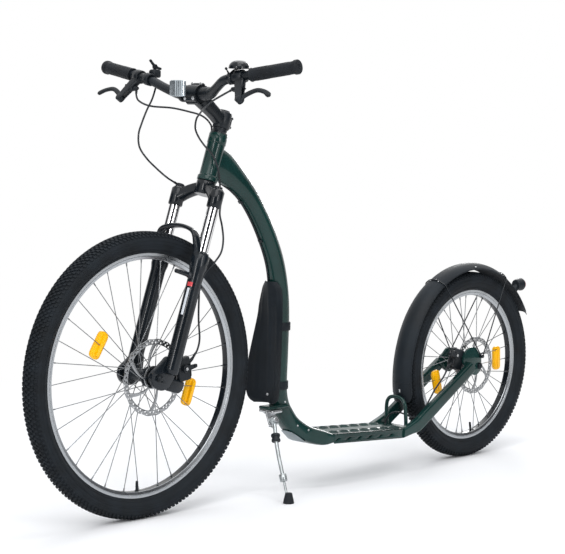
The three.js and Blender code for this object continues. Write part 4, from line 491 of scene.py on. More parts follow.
# --- wheels
def tyre(radius, name, body, centre, knob_count):
    """A tyre's carcass with its side lines, and its tread knobs."""
    drops = [(0, 3.2), (6, 3.3), (11.5, 4.0), (16.5, 6.0), (20.6, 9.3), (23.6, 13.5), (25.3, 18), (26.2, 22.5),
             (26.3, 26), (25.6, 30.5), (23.7, 35.5), (20.9, 40.2), (17.4, 44.2), (14.2, 47.2), (12.4, 48.8)]
    half = [(w, radius - d) for w, d in curve(drops, 43)]
    bead = [(12.2, radius - 50), (9.3, radius - 50.4), (9.3, radius - 55), (5.4, radius - 54), (14, radius - 40),
            (22.6, radius - 28), (20.5, radius - 14), (8, radius - 8)]
    loop = half + bead
    profile = [(r, w) for w, r in loop] + [(r, -w) for w, r in reversed(loop) if w > 0.01]
    carcass = turned([*profile, profile[0]], centre, Y, WHEEL_SIDES)
    rising = int(np.argmax([w for w, r in half])) + 1
    widths = np.array([w for w, r in half[:rising]])
    radii = np.array([r for w, r in half[:rising]])
    knobs = []
    pitch = 2 * pi / knob_count
    rows = [(0.0, 4.4, 0.56, 0.0, 3.1), (8.2, 4.0, 0.5, 0.5, 3.0), (15.4, 3.7, 0.5, 0.0, 3.0),
            (21.2, 3.4, 0.52, 0.5, 2.6)]
    for across, half_width, share, phase, tall in rows:
        for sign in ((1, -1) if across else (1,)):
            base = np.interp(across, widths, radii)
            slope = (np.interp(across + 1, widths, radii) - np.interp(across - 1, widths, radii)) / 2
            normal = unit(P(1, -slope, 0))
            tangent = P(-normal[1], normal[0], 0)
            for i in range(knob_count):
                angle = (i + phase) * pitch
                long = share * pitch * radius / 2
                corners = []
                for lift, shrink in ((-1.0, 1.0), (tall - 0.8, 0.95), (tall, 0.78)):
                    for u, v in ((-1, -1), (1, -1), (1, 1), (-1, 1)):
                        r = base + normal[0] * lift + tangent[0] * half_width * shrink * u
                        y = across + normal[1] * lift + tangent[1] * half_width * shrink * u
                        skew = 0.35 * u * sign * long if across else 0
                        t = angle + (v * long * shrink + skew) / radius
                        corners.append(polar(r, t, y * sign))
                points = np.array(corners)
                reach = np.hypot(points[:, 0], points[:, 2])
                over = np.maximum(reach / radius, 1)
                points[:, 0] /= over
                points[:, 2] /= over
                knobs.append((points + centre, ring_faces(3, 4) + [(8, 9, 10, 11)]))
    lines = []
    for sign in (1, -1):
        for r, w in ((radius - 30.4, 26.0), (radius - 43.6, 18.6), (radius - 20.2, 26.2)):
            ring = [(r - 0.7, sign * (w - 0.8)), (r, sign * (w + 0.35)), (r + 0.7, sign * (w - 0.8)),
                    (r - 0.7, sign * (w - 0.8))]
            lines.append(turned(ring, centre, Y, WHEEL_SIDES))
    piece(name + "_tyre_body", join(carcass, *lines), TYRE, body, (name + "_tyre",), angle=50)
    piece(name + "_tyre_knobs", join(*knobs), TYRE, body, angle=25)


def rim(radius, name, body, centre, valve_angle, spokes):
    """Bare side walls, a black bed with an eyelet and a nipple to each spoke, and the valve."""
    flange = radius - RIM_DROP
    side = [(flange, 12), (flange - 0.2, 11.0), (flange - 1.2, 9.7), (flange - 6.5, 9.7), (flange - 6.6, 8)]
    wall = [(flange - 14.5, 8.6), (flange - 13.8, 9.4), (flange - 7.6, 11.1), (flange - 7.2, 10.6),
            (flange - 6.6, 10.6), (flange - 6.2, 11.3), (flange - 1.2, 12), (flange, 12)]
    silver = [turned([(r, s * w) for r, w in side + wall], centre, Y, WHEEL_SIDES) for s in (1, -1)]
    piece(name + "_rim_walls", join(*silver), RIM, body, (name + "_rim",), angle=30)
    bed = [(flange - 14.3, 8.7), (flange - 14.9, 6.5), (flange - 15.0, 0), (flange - 14.9, -6.5),
           (flange - 14.3, -8.7), (flange - 6.7, -9.4), (flange - 6.7, 9.4), (flange - 14.3, 8.7)]
    eyelets = []
    nipples = []
    for hub_end, rim_end in spokes:
        along = unit(hub_end - rim_end)
        eyelets.append(turned([(3.4, -1.5), (3.4, 0.5), (2.4, 0.9)], rim_end, along, 12))
        nipples.append(rod(rim_end - along, rim_end + along * 9, 1.9, 8, 1.5, 0.3))
    piece(name + "_rim_bed", join(turned(bed, centre, Y, WHEEL_SIDES), *eyelets), BLACK, body)
    piece(name + "_nipples", join(*nipples), STEEL, body)
    out = polar(1, valve_angle)
    base = centre + out * (flange - 14.6)
    stem = turned([(4.6, 0), (4.6, 1.4), (3.1, 1.8), (2.9, 8), (3.2, 8.4), (3.2, 20.5), (2.6, 23.6), (0, 23.9)], base,
                  -out, 20)
    piece(name + "_valve", stem, RUBBER, body)


def wheel(name, body, centre, radius, valve_angle, spacing, disc, plane, hub_end, orbit, angles, knob_count):
    """A wheel: spacing is between the hub's flanges, disc the rotor's radius, plane and hub_end are places along the
    axle, and the reflectors sit at angles on a circle of radius orbit."""
    hub_place = HUB_FLANGE_R - 3.3
    rim_inner = radius - RIM_DROP - 14.8
    spokes = []
    for i, at_rim in enumerate(turns(SPOKES)):
        side = 1 if i % 2 else -1
        lead = 1 if i % 4 < 2 else -1
        at_hub = at_rim + lead * radians(52)
        flange = spacing / 2 + lead * 1.2
        spokes.append((centre + polar(hub_place, at_hub, side * flange), centre + polar(rim_inner, at_rim, side * 4)))
    tyre(radius, name, body, centre, knob_count)
    rim(radius, name, body, centre, valve_angle, spokes)
    wires = []
    for hub_at, rim_at in spokes:
        wires.append(rod(hub_at, rim_at, 1.0, 8, edge=0.1))
        head = P(0, 1 if hub_at[1] > 0 else -1, 0)
        wires.append(rod(hub_at - head * 2.2, hub_at + head * 2.4, 1.5, 8, edge=0.3))
    piece(name + "_spokes", join(*wires), STEEL, body)
    end = spacing / 2 + 3
    start = end - 6
    face = plane - 1.3
    shell = [(5.3, -hub_end), (9, -hub_end), (10, -hub_end + 1), (10, -end - 5), (14.2, -end - 1), (22.5, -end),
             (24, -end + 1), (24, -start - 1), (22.5, -start), (16.5, -start + 1.5), (15, -start + 5), (14.4, 0),
             (15, start - 5), (16.5, start - 1.5), (22.5, start), (24, start + 1), (24, end - 1), (22.5, end),
             (19.5, end + 0.7), (19.5, face - 1), (18.6, face), (16.7, face), (16.7, plane + 1.2),
             (15.7, plane + 2.2), (10, hub_end - 1), (9, hub_end), (5.3, hub_end), (5.3, -hub_end)]
    piece(name + "_hub_shell", turned(shell, centre, Y, 64), SATIN, body, (name + "_hub",), angle=45)
    # Rotor: a drilled ring on curved arms, and the bolts that hold it
    holes = []
    ring, core = disc - 13.5, 27
    pitch = 2 * pi / ROTOR_ARMS
    for i in range(ROTOR_ARMS):
        first, last = (i + 0.07) * pitch, (i + 0.93) * pitch
        lean = 0.55 * pitch
        steps = np.linspace(0.1, 0.9, 6)
        window = [(ring, t) for t in np.linspace(first + lean, last + lean, 12)]
        window += [(core + (ring - core) * s, last + lean * s ** 0.8) for s in steps[::-1]]
        window += [(core, t) for t in np.linspace(last, first, 7)]
        window += [(core + (ring - core) * s, first + lean * s ** 0.8) for s in steps]
        holes.append(rounded([spot(r, t) for r, t in window], 2.5, 3))
    for i, t in enumerate(turns(ROTOR_HOLES)):
        for k, (r, size) in enumerate(((disc - 4.0, 2.2), (disc - 9.2, 2.6))):
            u = t + (k + 0.25 * (i % 3)) * pi / ROTOR_HOLES
            holes.append(circle(*spot(r, u), size, 10))
    bolt_angles = [(i + 0.02) * pitch for i in range(ROTOR_ARMS)]
    holes += [circle(*spot(ROTOR_BOLT_R, t), 2.2, 12) for t in bolt_angles]
    holes.append(circle(0, 0, 17, 40))
    edge = [spot(disc - 0.9 + 0.8 * cos(18 * t), t) for t in np.linspace(0, 2 * pi, 216, endpoint=False)]
    piece(name + "_brake_rotor", plate(edge, 1.9, centre + Y * plane, holes, 0.15), DISC, body,
          (name + "_rotor",), angle=30)
    bolts = [socket_bolt(centre + polar(ROTOR_BOLT_R, t, plane + 0.9), Y, 3.6, 2.4)
             for t in bolt_angles]
    piece(name + "_rotor_bolts", join(*bolts), SATIN, body)
    for number, angle in enumerate(angles, 1):
        middle = P(orbit, 4, 0)
        outline, inner = (rounded([(-w, -h), (w, -h), (w, h), (-w, h)], w - 0.5, 10)
                          for w, h in ((14.5, 33.5), (11.5, 30.5)))
        lens = join(plate(outline, 8.5, middle, edge=1.6), plate(inner, 12.6, middle, edge=1.2))
        ribs = [block(P(orbit, 4, y), X, Y, Z, (22, 12.8, 1.1), 0.3) for y in (-24, 0, 24)]
        out_share = (orbit - HUB_FLANGE_R) / (rim_inner - HUB_FLANGE_R)
        spoke_plane = spacing / 2 + (4 - spacing / 2) * out_share
        clip_end = spoke_plane + 8 / 3
        clip = block(P(orbit, clip_end / 2 + 2, 0), X, Y, Z, (8, clip_end - 4, 53), 1.2)
        lens_part = spun(join(lens, *ribs, clip), centre, angle)
        piece(f"{name}_reflector_{number}", lens_part, AMBER, body,
              (f"{name}_wheel_reflector_{number}",))


wheel("front", "front_wheel", FRONT, FRONT_R, valve_angle=radians(-88), spacing=54, disc=90, plane=41, hub_end=50,
      orbit=155.5, angles=[radians(31.5), radians(199.5)], knob_count=176)
wheel("rear", "rear_wheel", REAR, REAR_R, valve_angle=radians(-99.6), spacing=46, disc=80, plane=31, hub_end=42,
      orbit=135, angles=[radians(-16.5), radians(177.5)], knob_count=136)


def axle_nuts(centre, plane):
    parts = [rod(centre - Y * (plane + 4), centre + Y * (plane + 4), 4.9)]
    for s in (1, -1):
        parts.append(turned([(9, 0), (9, 1.4), (7.6, 1.8)], centre + Y * s * plane, Y * s, 32))
        parts.append(hexagon(centre + Y * s * (plane + 1.4), Y * s, 8.4, 4.2))
        parts.append(turned([(5.6, 0), (5.6, 1), (4.0, 2.3), (0, 2.4)], centre + Y * s * (plane + 5.4), Y * s, 24))
    return join(*parts)


# --- frame: head tube, down tube, deck, stays, hoop
head = [(14.6, 0.3), (23.6, 0.3), (24.5, 1.2), (24.5, 9.5), (23.6, 11.5), (21.9, 13), (21.5, 15), (21.5, 90),
        (21.7, 92), (22.5, 93.6), (22.5, 116), (21.6, 117.3), (14.6, 117.3), (14.6, 0.3)]
seam = [(22.6, 93.4), (22.9, 93.9), (22.6, 94.4), (22.6, 93.4)]
piece("head_tube_skin", forked(join(turned(head, ORIGIN, Z, 64), turned(seam, ORIGIN, Z, 64))), PAINT, "frame",
      ("head_tube",))

TUBE_ROWS = [
    (0.985, 0.985, 1.75, 0.78, 0, 2), (0.9, 0.965, 1.6, 0.85, 0, 2), (0.8, 0.925, 1.3, 0.93, 0, 2),
    (0.7, 0.875, 1.1, 1, 0, 2), (0.605, 0.81, 1.02, 1, 0, 2), (0.513, 0.73, 1, 1, 0, 2), (0.436, 0.64, 1, 1, 0, 2),
    (0.392, 0.545, 1, 1, 0, 2), (0.376, 0.45, 1, 1, 0, 2), (0.38, 0.32, 1, 1, 0, 2), (0.386, 0.2, 1, 1.02, 0, 2),
    (0.3675, 0.137, 1.06, 1, 0, 2.1), (0.3185, 0.0955, 0.97, 1, 0.015, 2.3), (0.262, 0.0585, 0.9, 1, 0.12, 2.8),
    (0.17, 0.0235, 0.9, 1, 0.38, 3.6), (0.07, 0.0045, 0.84, 1, 0.86, 5), (0, 0, 25 / 47, 1, 1, 6),
]
TUBE_FOOT = P(DECK_FRONT, 0, DECK_TOP) + DECK_ALONG * GAP - DECK_UP * (DECK_DEPTH / 2)
TUBE_HEAD = fork_point(0, 0, 58.5)


def tube_frames(rows):
    centres = [P(TUBE_FOOT[0] + r[0] * (TUBE_HEAD[0] - TUBE_FOOT[0]), 0,
                 TUBE_FOOT[2] + r[1] * (TUBE_HEAD[2] - TUBE_FOOT[2]))
               for r in rows]
    out = []
    for i, (_, _, depth, width, spread, squareness) in enumerate(rows):
        along = unit(centres[min(i + 1, len(rows) - 1)] - centres[max(i - 1, 0)])
        outward = np.cross(along, Y)
        if i == len(rows) - 1:
            outward = -DECK_UP
        out.append((centres[i], outward, width * TUBE_HALF * (1 - spread) + DECK_HALF * spread, depth * TUBE_HALF,
                    squareness))
    return out


FRAMES = tube_frames(TUBE_ROWS)
FINE = tube_frames([tuple(r) for r in curve(TUBE_ROWS, 113)])


def front_of_tube(index, across, lift):
    centre, outward, half_width, half_depth, squareness = FRAMES[index]
    depth = half_depth * (1 - abs(across / half_width) ** squareness) ** (1 / squareness)
    return centre + Y * across + outward * (depth + lift)




tab = block(P(FRAMES[10][0][0] + TUBE_HALF, 12, 219), X, Y, Z, (72, 36, 8), 2)
skin = loft([section(centre, Y, outward, w, d, q, 72) for centre, outward, w, d, q in FINE])
piece("down_tube_skin", join(skin, tab), PAINT, "frame", ("down_tube",), angle=45)
guides = []
for index in (3, 5, 7, 9):
    at = front_of_tube(index, 0 if index < 6 else -11, 0.5)
    centre, outward = FRAMES[index][0], FRAMES[index][1]
    along = unit(np.cross(Y, outward))
    guides.append(block(at + outward * 1.2, along, Y, outward, (9, 13, 3.6), 1))
piece("cable_guides", join(*guides), PLASTIC, "frame")
tube_screws = [socket_bolt(P(*at), Y, 2.7, 1.4)
               for at in ((746.3, 23.1, 229.3), (703.7, 27.7, 165.2), (671.3, 34.8, 151.5))]
piece("tube_screws", join(*tube_screws), BOLT, "frame")


# The scuff plate is the CAD node's own mesh, with its edges rounded and its faces smoothed
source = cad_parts["scuff_plate"].data
scuff = shown("scuff_skin", [tuple(v.co) for v in source.vertices], [tuple(f.vertices) for f in source.polygons],
              SCUFF, 40, merge=2e-6, flat=1.5)
rounding = scuff.modifiers.new("edges", "BEVEL")
rounding.width = 0.4 / 1000
rounding.segments = 2
rounding.limit_method = "ANGLE"
rounding.angle_limit = radians(40)
rounding.harden_normals = True
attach(scuff, "frame")
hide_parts("scuff_plate")

deck_long = (DECK_FRONT - DECK_REAR) / cos(DECK_SLOPE)
tail_long = (DECK_FRONT - DECK_TAIL) / cos(DECK_SLOPE)


def on_top(part, z=0.0):
    """A part made in the deck's own directions, moved onto the deck."""
    return seated(part, on_deck(0, 0, z), DECK_ALONG, Y, DECK_UP)


outline = rounded([(0, -DECK_HALF), (0, DECK_HALF), (-deck_long, DECK_HALF), (-deck_long, 44), (-tail_long, 44),
                   (-tail_long, -44), (-deck_long, -44), (-deck_long, -DECK_HALF)], 4)
dimples = [(-39.5 * (i + 0.6), s * 36) for i in range(7) for s in (1, -1)]
holes = [circle(x, y, 9.3, 28) for x, y in dimples]
top = on_top(sheet_metal(outline, 3, holes, 0.8), -1.5)
lips = []
for x, y in dimples:
    lip = [(9, -2.8), (9, 2.0), (9.5, 2.8), (10.6, 3.0), (11.6, 2.5), (13.0, 0.6), (14.0, 0.05), (14.0, -0.6),
           (9.6, -1.2), (9, -2.8)]
    lips.append(turned(lip, on_deck(x, y, 0), DECK_UP, 32))
lips.append(on_top(block(P(-deck_long / 2, 0, 0.05), X, Y, Z, (deck_long - 6, 34, 0.3), 0.1)))
piece("deck_top", top, PAINT, "frame", ("deck",))
piece("deck_lips", join(*lips), ROUGH_PAINT, "frame")
slots = []
for i in range(6):
    c = -41 * (i + 0.27)
    slots.append(rounded([(c + 3, -17.8), (c + 11, -17.8), (c - 3, -11.2), (c - 11, -11.2)], 1.6, 5))
side_outline = rounded([(0, -DECK_DEPTH), (-deck_long, -DECK_DEPTH), (-deck_long, 0), (0, 0)], 1.5, 3)
deck_parts = []
for s in (1, -1):
    wall = sheet_metal(side_outline, 3, slots, 0.8)
    deck_parts.append(seated(wall, on_deck(0, s * 60.5, 0), DECK_ALONG, DECK_UP, Y))
    deck_parts.append(on_top(block(P(-deck_long / 2, s * 46, -12.5), X, Y, Z, (deck_long - 1, 3, 20), 0.8)))
deck_parts.append(on_top(block(P(-deck_long + 1.5, 0, -13), X, Y, Z, (3, 118, 22), 0.8)))
piece("deck_sides", join(*deck_parts), PAINT, "frame")
screws = [socket_bolt(on_deck(x, y, -0.6), DECK_UP, 3.2, 0.6) for x in (-12, -deck_long + 10) for y in (14, -14)]
piece("deck_screws", join(*screws), BOLT, "frame")


def stay(side):
    front = on_deck(-deck_long - GAP, 56, -DECK_DEPTH / 2)
    knee = P(268, 56, front[2] + 16.2)
    end = P(43.4, 56, REAR_R + 31 / 20)
    rise = unit(np.cross(Y, end - knee))
    rows = [(front, DECK_UP, 12.5), (lerp(front, knee, 0.6), DECK_UP, 15.8), (knee, unit(rise + DECK_UP), 18.25),
            (lerp(knee, end, 0.1), rise, 18.25), (lerp(knee, end, 0.2), rise, 18.25),
            (lerp(knee, end, 0.6), rise, 16.8), (end, rise, 15.5)]
    flat_rows = curve([[*c, *u, h] for c, u, h in rows], 40)
    body = loft([section(r[:3], Y, unit(r[3:6]), 9, r[6], 5, 48) for r in flat_rows])
    lobe = [(1.8, 0.5), (1.5, 1.15), (0.95, 1.35), (0.45, 1.36)]
    if side < 0:
        lobe = [(1.5, 0.5), (1.05, 0.75), (0.75, 1.05), (0.4, 1.1)]
    shape = rounded([(40 * x, 40 * z) for x, z in [
        *lobe, (0.1, 0.95), (-0.2, 0.7), (-0.26, 0.2), (-0.22, -0.25), (0, -0.5), (0.35, -0.65), (0.9, -0.5),
        (1.5, 0)]], 9, 5)
    dropout = plate(shape, 7, REAR + Y * 45.8, [circle(0, 0, 5.3, 24)], 1)
    return on_side(join(body, dropout), side)


for label, s in SIDES:
    piece(label + "_stay_skin", stay(s), PAINT, "frame", (label + "_stay",), angle=45)
hoop_foot = on_deck(-(DECK_FRONT - 290) / cos(DECK_SLOPE), 0, 0.9)
hoop_half = [P(hoop_foot[0] + h * 5.2, w * 34, hoop_foot[2] + h * 76) for w, h in
             [(1, 0), (1, 0.3), (0.98, 0.58), (0.86, 0.82), (0.55, 0.96), (0, 1)]]
hoop = tube(both_sides(hoop_half), 5.1, 20, 2.5)
piece("hoop_bar", hoop, PAINT, "frame", ("fender_hoop",))

# --- rear fender, its wires and the tail lamp
def on_fender(angle, across, lift):
    flare_end = radians(20)
    flare = 8 * max(0, (flare_end - angle) / (flare_end - FENDER_START)) ** 1.5
    radius = FENDER_R + flare - 16 * abs(across / FENDER_HALF) ** 2.2 + lift
    return REAR + polar(radius, angle, across)


def fender():
    rings = []
    across = np.linspace(-1, 1, 25)
    for angle in np.linspace(FENDER_START, radians(152), 90):
        shrink = 1 - 0.25 * max(0, (radians(-11) - angle) / radians(5)) ** 2
        wide = shrink + 0.07 * max(0, -angle / radians(16))
        outer = [on_fender(angle, w * FENDER_HALF * wide, -0.25 * (abs(w) > 0.97)) for w in across]
        inner = [on_fender(angle, w * 31.9 * wide, -2.4) for w in across[::-1]]
        rings.append(outer + inner)
    return loft(rings)


tab_at = P(hoop_foot[0] - GAP - 8.5, 0, hoop_foot[2] + 76)
ribs = [tube([on_fender(a, w * FENDER_HALF, 0.1) for a in np.linspace(radians(-12), radians(150), 60)], 0.9, 6, 12)
        for w in (0.94, -0.94)]
piece("fender_shell", join(fender(), *ribs, block(tab_at, X, Y, Z, (17, 17, 2.4), 1)), MATTE, "frame",
      ("rear_fender",), angle=50)
crease = tube([on_fender(radians(-5.5), w, 0.1) for w in np.linspace(-31, 31, 9)], 0.8, 8, 4)
piece("fender_crease", crease, MATTE, "frame")
catch = radians(-9.5)
catch_out = unit(on_fender(catch, 5, 1) - on_fender(catch, 5, 0))
piece("fender_catch", block(on_fender(catch, 5, 0.6), np.cross(catch_out, Y), Y, catch_out, (9, 3.6, 1.4), 0.4), BOLT,
      "frame")
rivets = []
for degrees, w in ((58.8, 14), (58.8, -14), (119, 14), (119, -14), (128, 6), (90, 27)):
    a = radians(degrees)
    rivets.append(socket_bolt(on_fender(a, w, -0.3), on_fender(a, w, 1) - on_fender(a, w, 0), 3.4, 2))
piece("fender_rivets", join(*rivets), BOLT, "frame")


def wire(angle, order):
    lift = 3.0
    start = REAR_NUT + order * 5.9
    reach = start + 2 / (1 + order) + 1.8
    eye = P(-3, reach, REAR_R + 27)
    over = [on_fender(angle, 33 + lift, -lift), on_fender(angle, 33 + lift * 0.75, lift * 1.2),
            on_fender(angle, 21.5, 2.4),
            on_fender(angle, 10, 2.1), on_fender(angle, 0, 2.0)]
    half = [eye, lerp(eye, over[0], 0.3), lerp(eye, over[0], 0.7), lerp(eye, over[0], 0.92), *over]
    boss = turned([(2.6, 0), (5, 0.3), (5, reach + 1.6 - start), (2.6, reach + 1.8 - start), (2.6, 0)],
                  P(eye[0], start, eye[2]), Y, 24)
    screw = hexagon(P(eye[0], start, eye[2]), Y, 2.7, reach + 1.8 - start)
    return join(tube(both_sides(half), 1.7, 10, 3), boss, screw, mirrored(boss), mirrored(screw))


for order, (label, degrees) in enumerate((("front", 58.8), ("rear", 119))):
    piece("fender_wire_" + label, wire(radians(degrees), order), BLACK, "frame",
          ("fender_stay_" + label,))
lamp_angle = radians(138)
lamp = on_fender(lamp_angle, 0, 30)
shell = [(0, 0), (12.8, 0), (14.4, 1.6), (15.4, 6), (17.2, 17), (18, 20.5), (18, 24), (16.4, 24), (16.4, 22), (0, 22)]
foot = rod(on_fender(lamp_angle, 0, 1), lamp, 8.6, 24, 9.6)
collar = turned([(11, 0), (11.6, 0.6), (11, 3), (8, 4)], on_fender(lamp_angle, 0, 0.4),
                lamp - on_fender(lamp_angle, 0, 0), 28)
piece("lamp_housing", join(turned(shell, lamp + X * 12, -X, 48), foot, collar), PLASTIC, "frame",
      ("tail_lamp",))
glass = [(0, 0), (16.2, 0), (16.5, 2.5), (15.2, 5.5), (11, 7.4), (0, 8)]
piece("lamp_glass", turned(glass, lamp - X * 12.3, -X, 48), RED, "frame", ("tail_lens",))

# --- mud panel in front of the down tube
PANEL = [(0, 0.5, 0, 1), (0.02, 0.76, 0, 1), (0.06, 0.94, 0, 1), (0.14, 1, 0, 1), (0.35, 0.97, 0, 0.75),
         (0.69, 0.75, 0, 0), (0.8, 0.7, 0.1, -0.25), (0.9, 0.62, 0.2, -0.5), (0.95, 0.54, 0.3, -0.6),
         (1, 0.34, 0.45, -0.6)]


def panel():
    rings = []
    for rise, wide, forward, bend in curve(PANEL, 64):
        z = 228 + min(max(rise, 0), 1) * 303
        half = []
        for w in np.linspace(-1, 1, 33):
            ridge = 1.6 * exp(-((w / 0.09) ** 2)) + 1.2 * exp(-(((abs(w) - 0.62) / 0.08) ** 2))
            half.append((779 + forward * 20 + 20 * bend * abs(w) ** 1.6, w * wide * 58 - 3, ridge))
        back = [P(x, y, z) for x, y, ridge in half]
        front = [P(x + 2.4 - (0.5 if k in (0, 32) else 0) + ridge * min(1, rise * 6, (1 - rise) * 5), y, z)
                 for k, (x, y, ridge) in enumerate(half)]
        rings.append(back + front[::-1])
    return loft(rings)


straps = []
for z in (418, 271):
    centre = FRAMES[8][0][0] + (4 if z < 418 else 0)
    straps.append(turned(band(23.9, 26.4, 26.8, 10, 9), P(centre, 0, z), Z, 56))
    reach = 779 + 1.2 - centre
    straps.append(block(P(centre + reach / 2, 0, z), X, Y, Z, (reach, 40, 19), 2))
    straps.append(block(P(centre - 25.8, 4, z), X, Y, Z, (4, 14, 15), 1.2))
piece("mud_panel", join(panel(), *straps), MATTE, "frame", ("front_mudguard",), angle=45)
piece("panel_bolts", socket_bolt(P(782.2, -3, 249), X, 3.4, 2), BOLT, "frame")


# --- fork
def fork_crown():
    rows = []
    for w in np.linspace(-1, 1, 33):
        drop = 17 + (22 + 6 + 5) * w * w
        rows.append((P(LEG_AHEAD * abs(w) ** 1.5, w * LEG_OUT, -drop), 14.3 + 1.5 * abs(w) ** 3, 14.3))
    arms = sweep(rows, X, 2.8, 40)
    parts = [arms, turned([(22, -34), (23, -33), (23, -3), (22.4, -1), (21, 0)], ORIGIN, Z, 56),
             rod(P(0, 0, -17), P(0, 0, 176), 14.3, 40)]
    for s in (1, -1):
        clamp = [(14.3, -68), (16.4, -68), (17.2, -67), (17.2, -29), (16.4, -27.6), (12, -22.6), (10.8, -22),
                 (0, -22)]
        parts.append(turned(clamp, P(LEG_AHEAD, s * LEG_OUT, 0), Z, 56))
        parts.append(turned([(14.3, -68), (15.2, -69), (15.2, -67), (14.3, -67), (14.3, -68)],
                            P(LEG_AHEAD, s * LEG_OUT, 0), Z, 48))
    cap = turned([(10.2, -22), (10.2, -17.8), (8.6, -16.6), (0, -16.6)], P(LEG_AHEAD, LEG_OUT, 0), Z, 36)
    return join(*parts, cap)


piece("crown", forked(fork_crown()), BLACK, "steering", ("fork_crown",), angle=45)
for label, s in SIDES:
    leg = turned([(13.4, -328.3), (14, -327.6), (14, -27), (13, -26.3)], P(LEG_AHEAD, s * LEG_OUT, 0), Z, 64)
    piece("inner_leg_" + label, forked(leg), CHROME, "steering", ("stanchion_" + label,))


def fork_lowers():
    parts = []
    for s in (1, -1):
        leg = [(0, -470.6), (10, -470.4), (14, -468.5), (16.4, -465), (17.5, -459), (17.5, -232), (18.4, -225),
               (20.5, -216), (20.5, -186), (19.6, -183), (18, -182), (14.4, -182)]
        parts.append(turned(leg, P(LEG_AHEAD, s * LEG_OUT, 0), Z, 64))
        seal = [(14.1, -182.5), (16.8, -182.5), (17.2, -181), (17.2, -178.5), (15.2, -176.2), (14.1, -176),
                (14.1, -182.5)]
        parts.append(turned(seal, P(LEG_AHEAD, s * LEG_OUT, 0), Z, 48))
        shape = rounded([(38 * x, 38 * z) for x, z in [
            (-1.05, 1.46), (-1.26, 0.39), (-0.95, -0.44), (-0.48, -0.7), (0.17, -0.63), (0.55, -0.27), (0.6, 0.2),
            (0.02, 0.98), (-0.3, 1.5)]], 10, 6)
        parts.append(plate(shape, 12, P(AXLE_AHEAD, s * 56.3, -AXLE_DROP), [circle(0, 0, 5.3, 28)], 1.6))
        parts.append(turned([(13, 0), (13, 1.2), (11.8, 2)], P(AXLE_AHEAD, s * 50.6, -AXLE_DROP), -Y * s, 32))
    arch = [(1, 0.46, 1.62), (0.99, 0.76, 1.34), (0.88, 0.96, 1.13), (0.56, 1.01, 1.04), (0, 0.98, 1)]
    half = [(P(x * 50, y * LEG_OUT, -z * 124), 10 + 1.2 * (z > 1.2), 5 + 1.5 * (z > 1.2)) for y, x, z in arch]
    other = [(p * P(1, -1, 1), w, h) for p, w, h in half[-2::-1]]
    parts.append(sweep(half + other, X, 3, 36, 90))
    boss = P(LEG_AHEAD, LEG_OUT, -236.6)
    parts.append(rod(boss, P(86, LEG_OUT, -238.6), 6, 24, 5.2, 1.6))
    parts.append(rod(P(37, LEG_OUT, -237.4), P(46, LEG_OUT, -237.7), 8.4, 24, 6.5, 1))
    ear = rounded([(35 * x, -AXLE_DROP + 35 * z) for x, z in [
        (0.3, 0.35), (-0.3, 0.3), (-1.05, 0.3), (-1.05, -0.2), (-0.8, -0.55), (0.3, -0.6)]], 6, 4)
    parts.append(plate(ear, 10.5, P(0, 53.75, 0), edge=1.2))
    return join(*parts)


piece("fork_legs", forked(fork_lowers()), BLACK, "fork_slider", ("fork_lowers",), angle=40)


def on_leg(side, radius, angle, z):
    """A place at a radius and an angle round a fork leg's axis."""
    return P(LEG_AHEAD + radius * cos(angle), side * LEG_OUT + radius * sin(angle), z)


def leg_band(low, high, first, last):
    """A thin strip on the outside of the left lower leg, between two heights and two angles."""
    rows = []
    for z in np.linspace(low, high, 8):
        t = np.linspace(radians(first), radians(last), 14)
        rows.append([on_leg(1, 17.72, u, z) for u in t] + [on_leg(1, 17.3, u, z) for u in t[::-1]])
    return loft(rows)


piece("leg_stripe_red", forked(leg_band(-262, -252, -7, 38)), SCARLET, "fork_slider")
piece("leg_stripe_pale", forked(leg_band(-330, -266, 4, 24)), STRIPE, "fork_slider")
piece("front_axle_nuts", axle_nuts(FRONT, 62.6), SATIN, "fork_slider", ("front_axle",))
piece("rear_axle_nuts", axle_nuts(REAR, REAR_NUT), SATIN, "frame", ("rear_axle",))
knob = [(10.5, -21.7), (10.5, -17), (9.6, -15.4), (8.2, -14.7), (0, -14.7)]
knob_parts = [turned([(0, -21.7), *knob], P(LEG_AHEAD, -LEG_OUT, 0), Z, 40)]
for t in turns(14):
    knob_parts.append(rod(on_leg(-1, 10, t, -21.4), on_leg(-1, 9.9, t, -16.4), 0.9, 8))
piece("knob_cap", forked(join(*knob_parts)), PLASTIC, "knob", ("lockout_knob",))
spacer = [(14.6, 117.6), (20.8, 117.6), (21.3, 118.4), (20.4, 120.6), (17.9, 122.4), (17.5, 123.6), (17.5, 126.6),
          (17.2, 126.9), (17.2, 127.3), (17.5, 127.6), (17.5, 131.3), (14.6, 131.6), (14.6, 117.6)]
piece("headset_cover", forked(turned(spacer, ORIGIN, Z, 48)), SATIN, "steering", ("headset_spacer",))


# --- handlebar, stem, grips
BAR = fork_point(103.8, 0, 182.6)


def bar_point(across):
    beyond = abs(across) - 136
    return P(BAR[0] + BAR_REACH - beyond * tan(radians(10.7)), across,
             BAR[2] + BAR_RISE + beyond * tan(radians(8.6)))


half = [(P(BAR[0] + f * BAR_REACH, 32 + w * 104, BAR[2] + r * BAR_RISE), 11.1 + t * 4.8) for w, f, r, t in
        [(0, 0, 0, 1), (0.12, 0.03, 0.03, 0.95), (0.27, 0.17, 0.07, 0.4), (0.5, 0.52, 0.34, 0), (0.78, 0.87, 0.76, 0),
         (0.92, 0.975, 0.93, 0)]]
half += [(bar_point(y), 11.1) for y in (147.1, 190, 230, 270, 322)]
both = [(p * P(1, -1, 1), w, w) for p, w in half[::-1]] + [(p, w, w) for p, w in half]
piece("bar_tube", sweep(both, X, 2, 36, 140), SATIN, "steering", ("handlebar",))

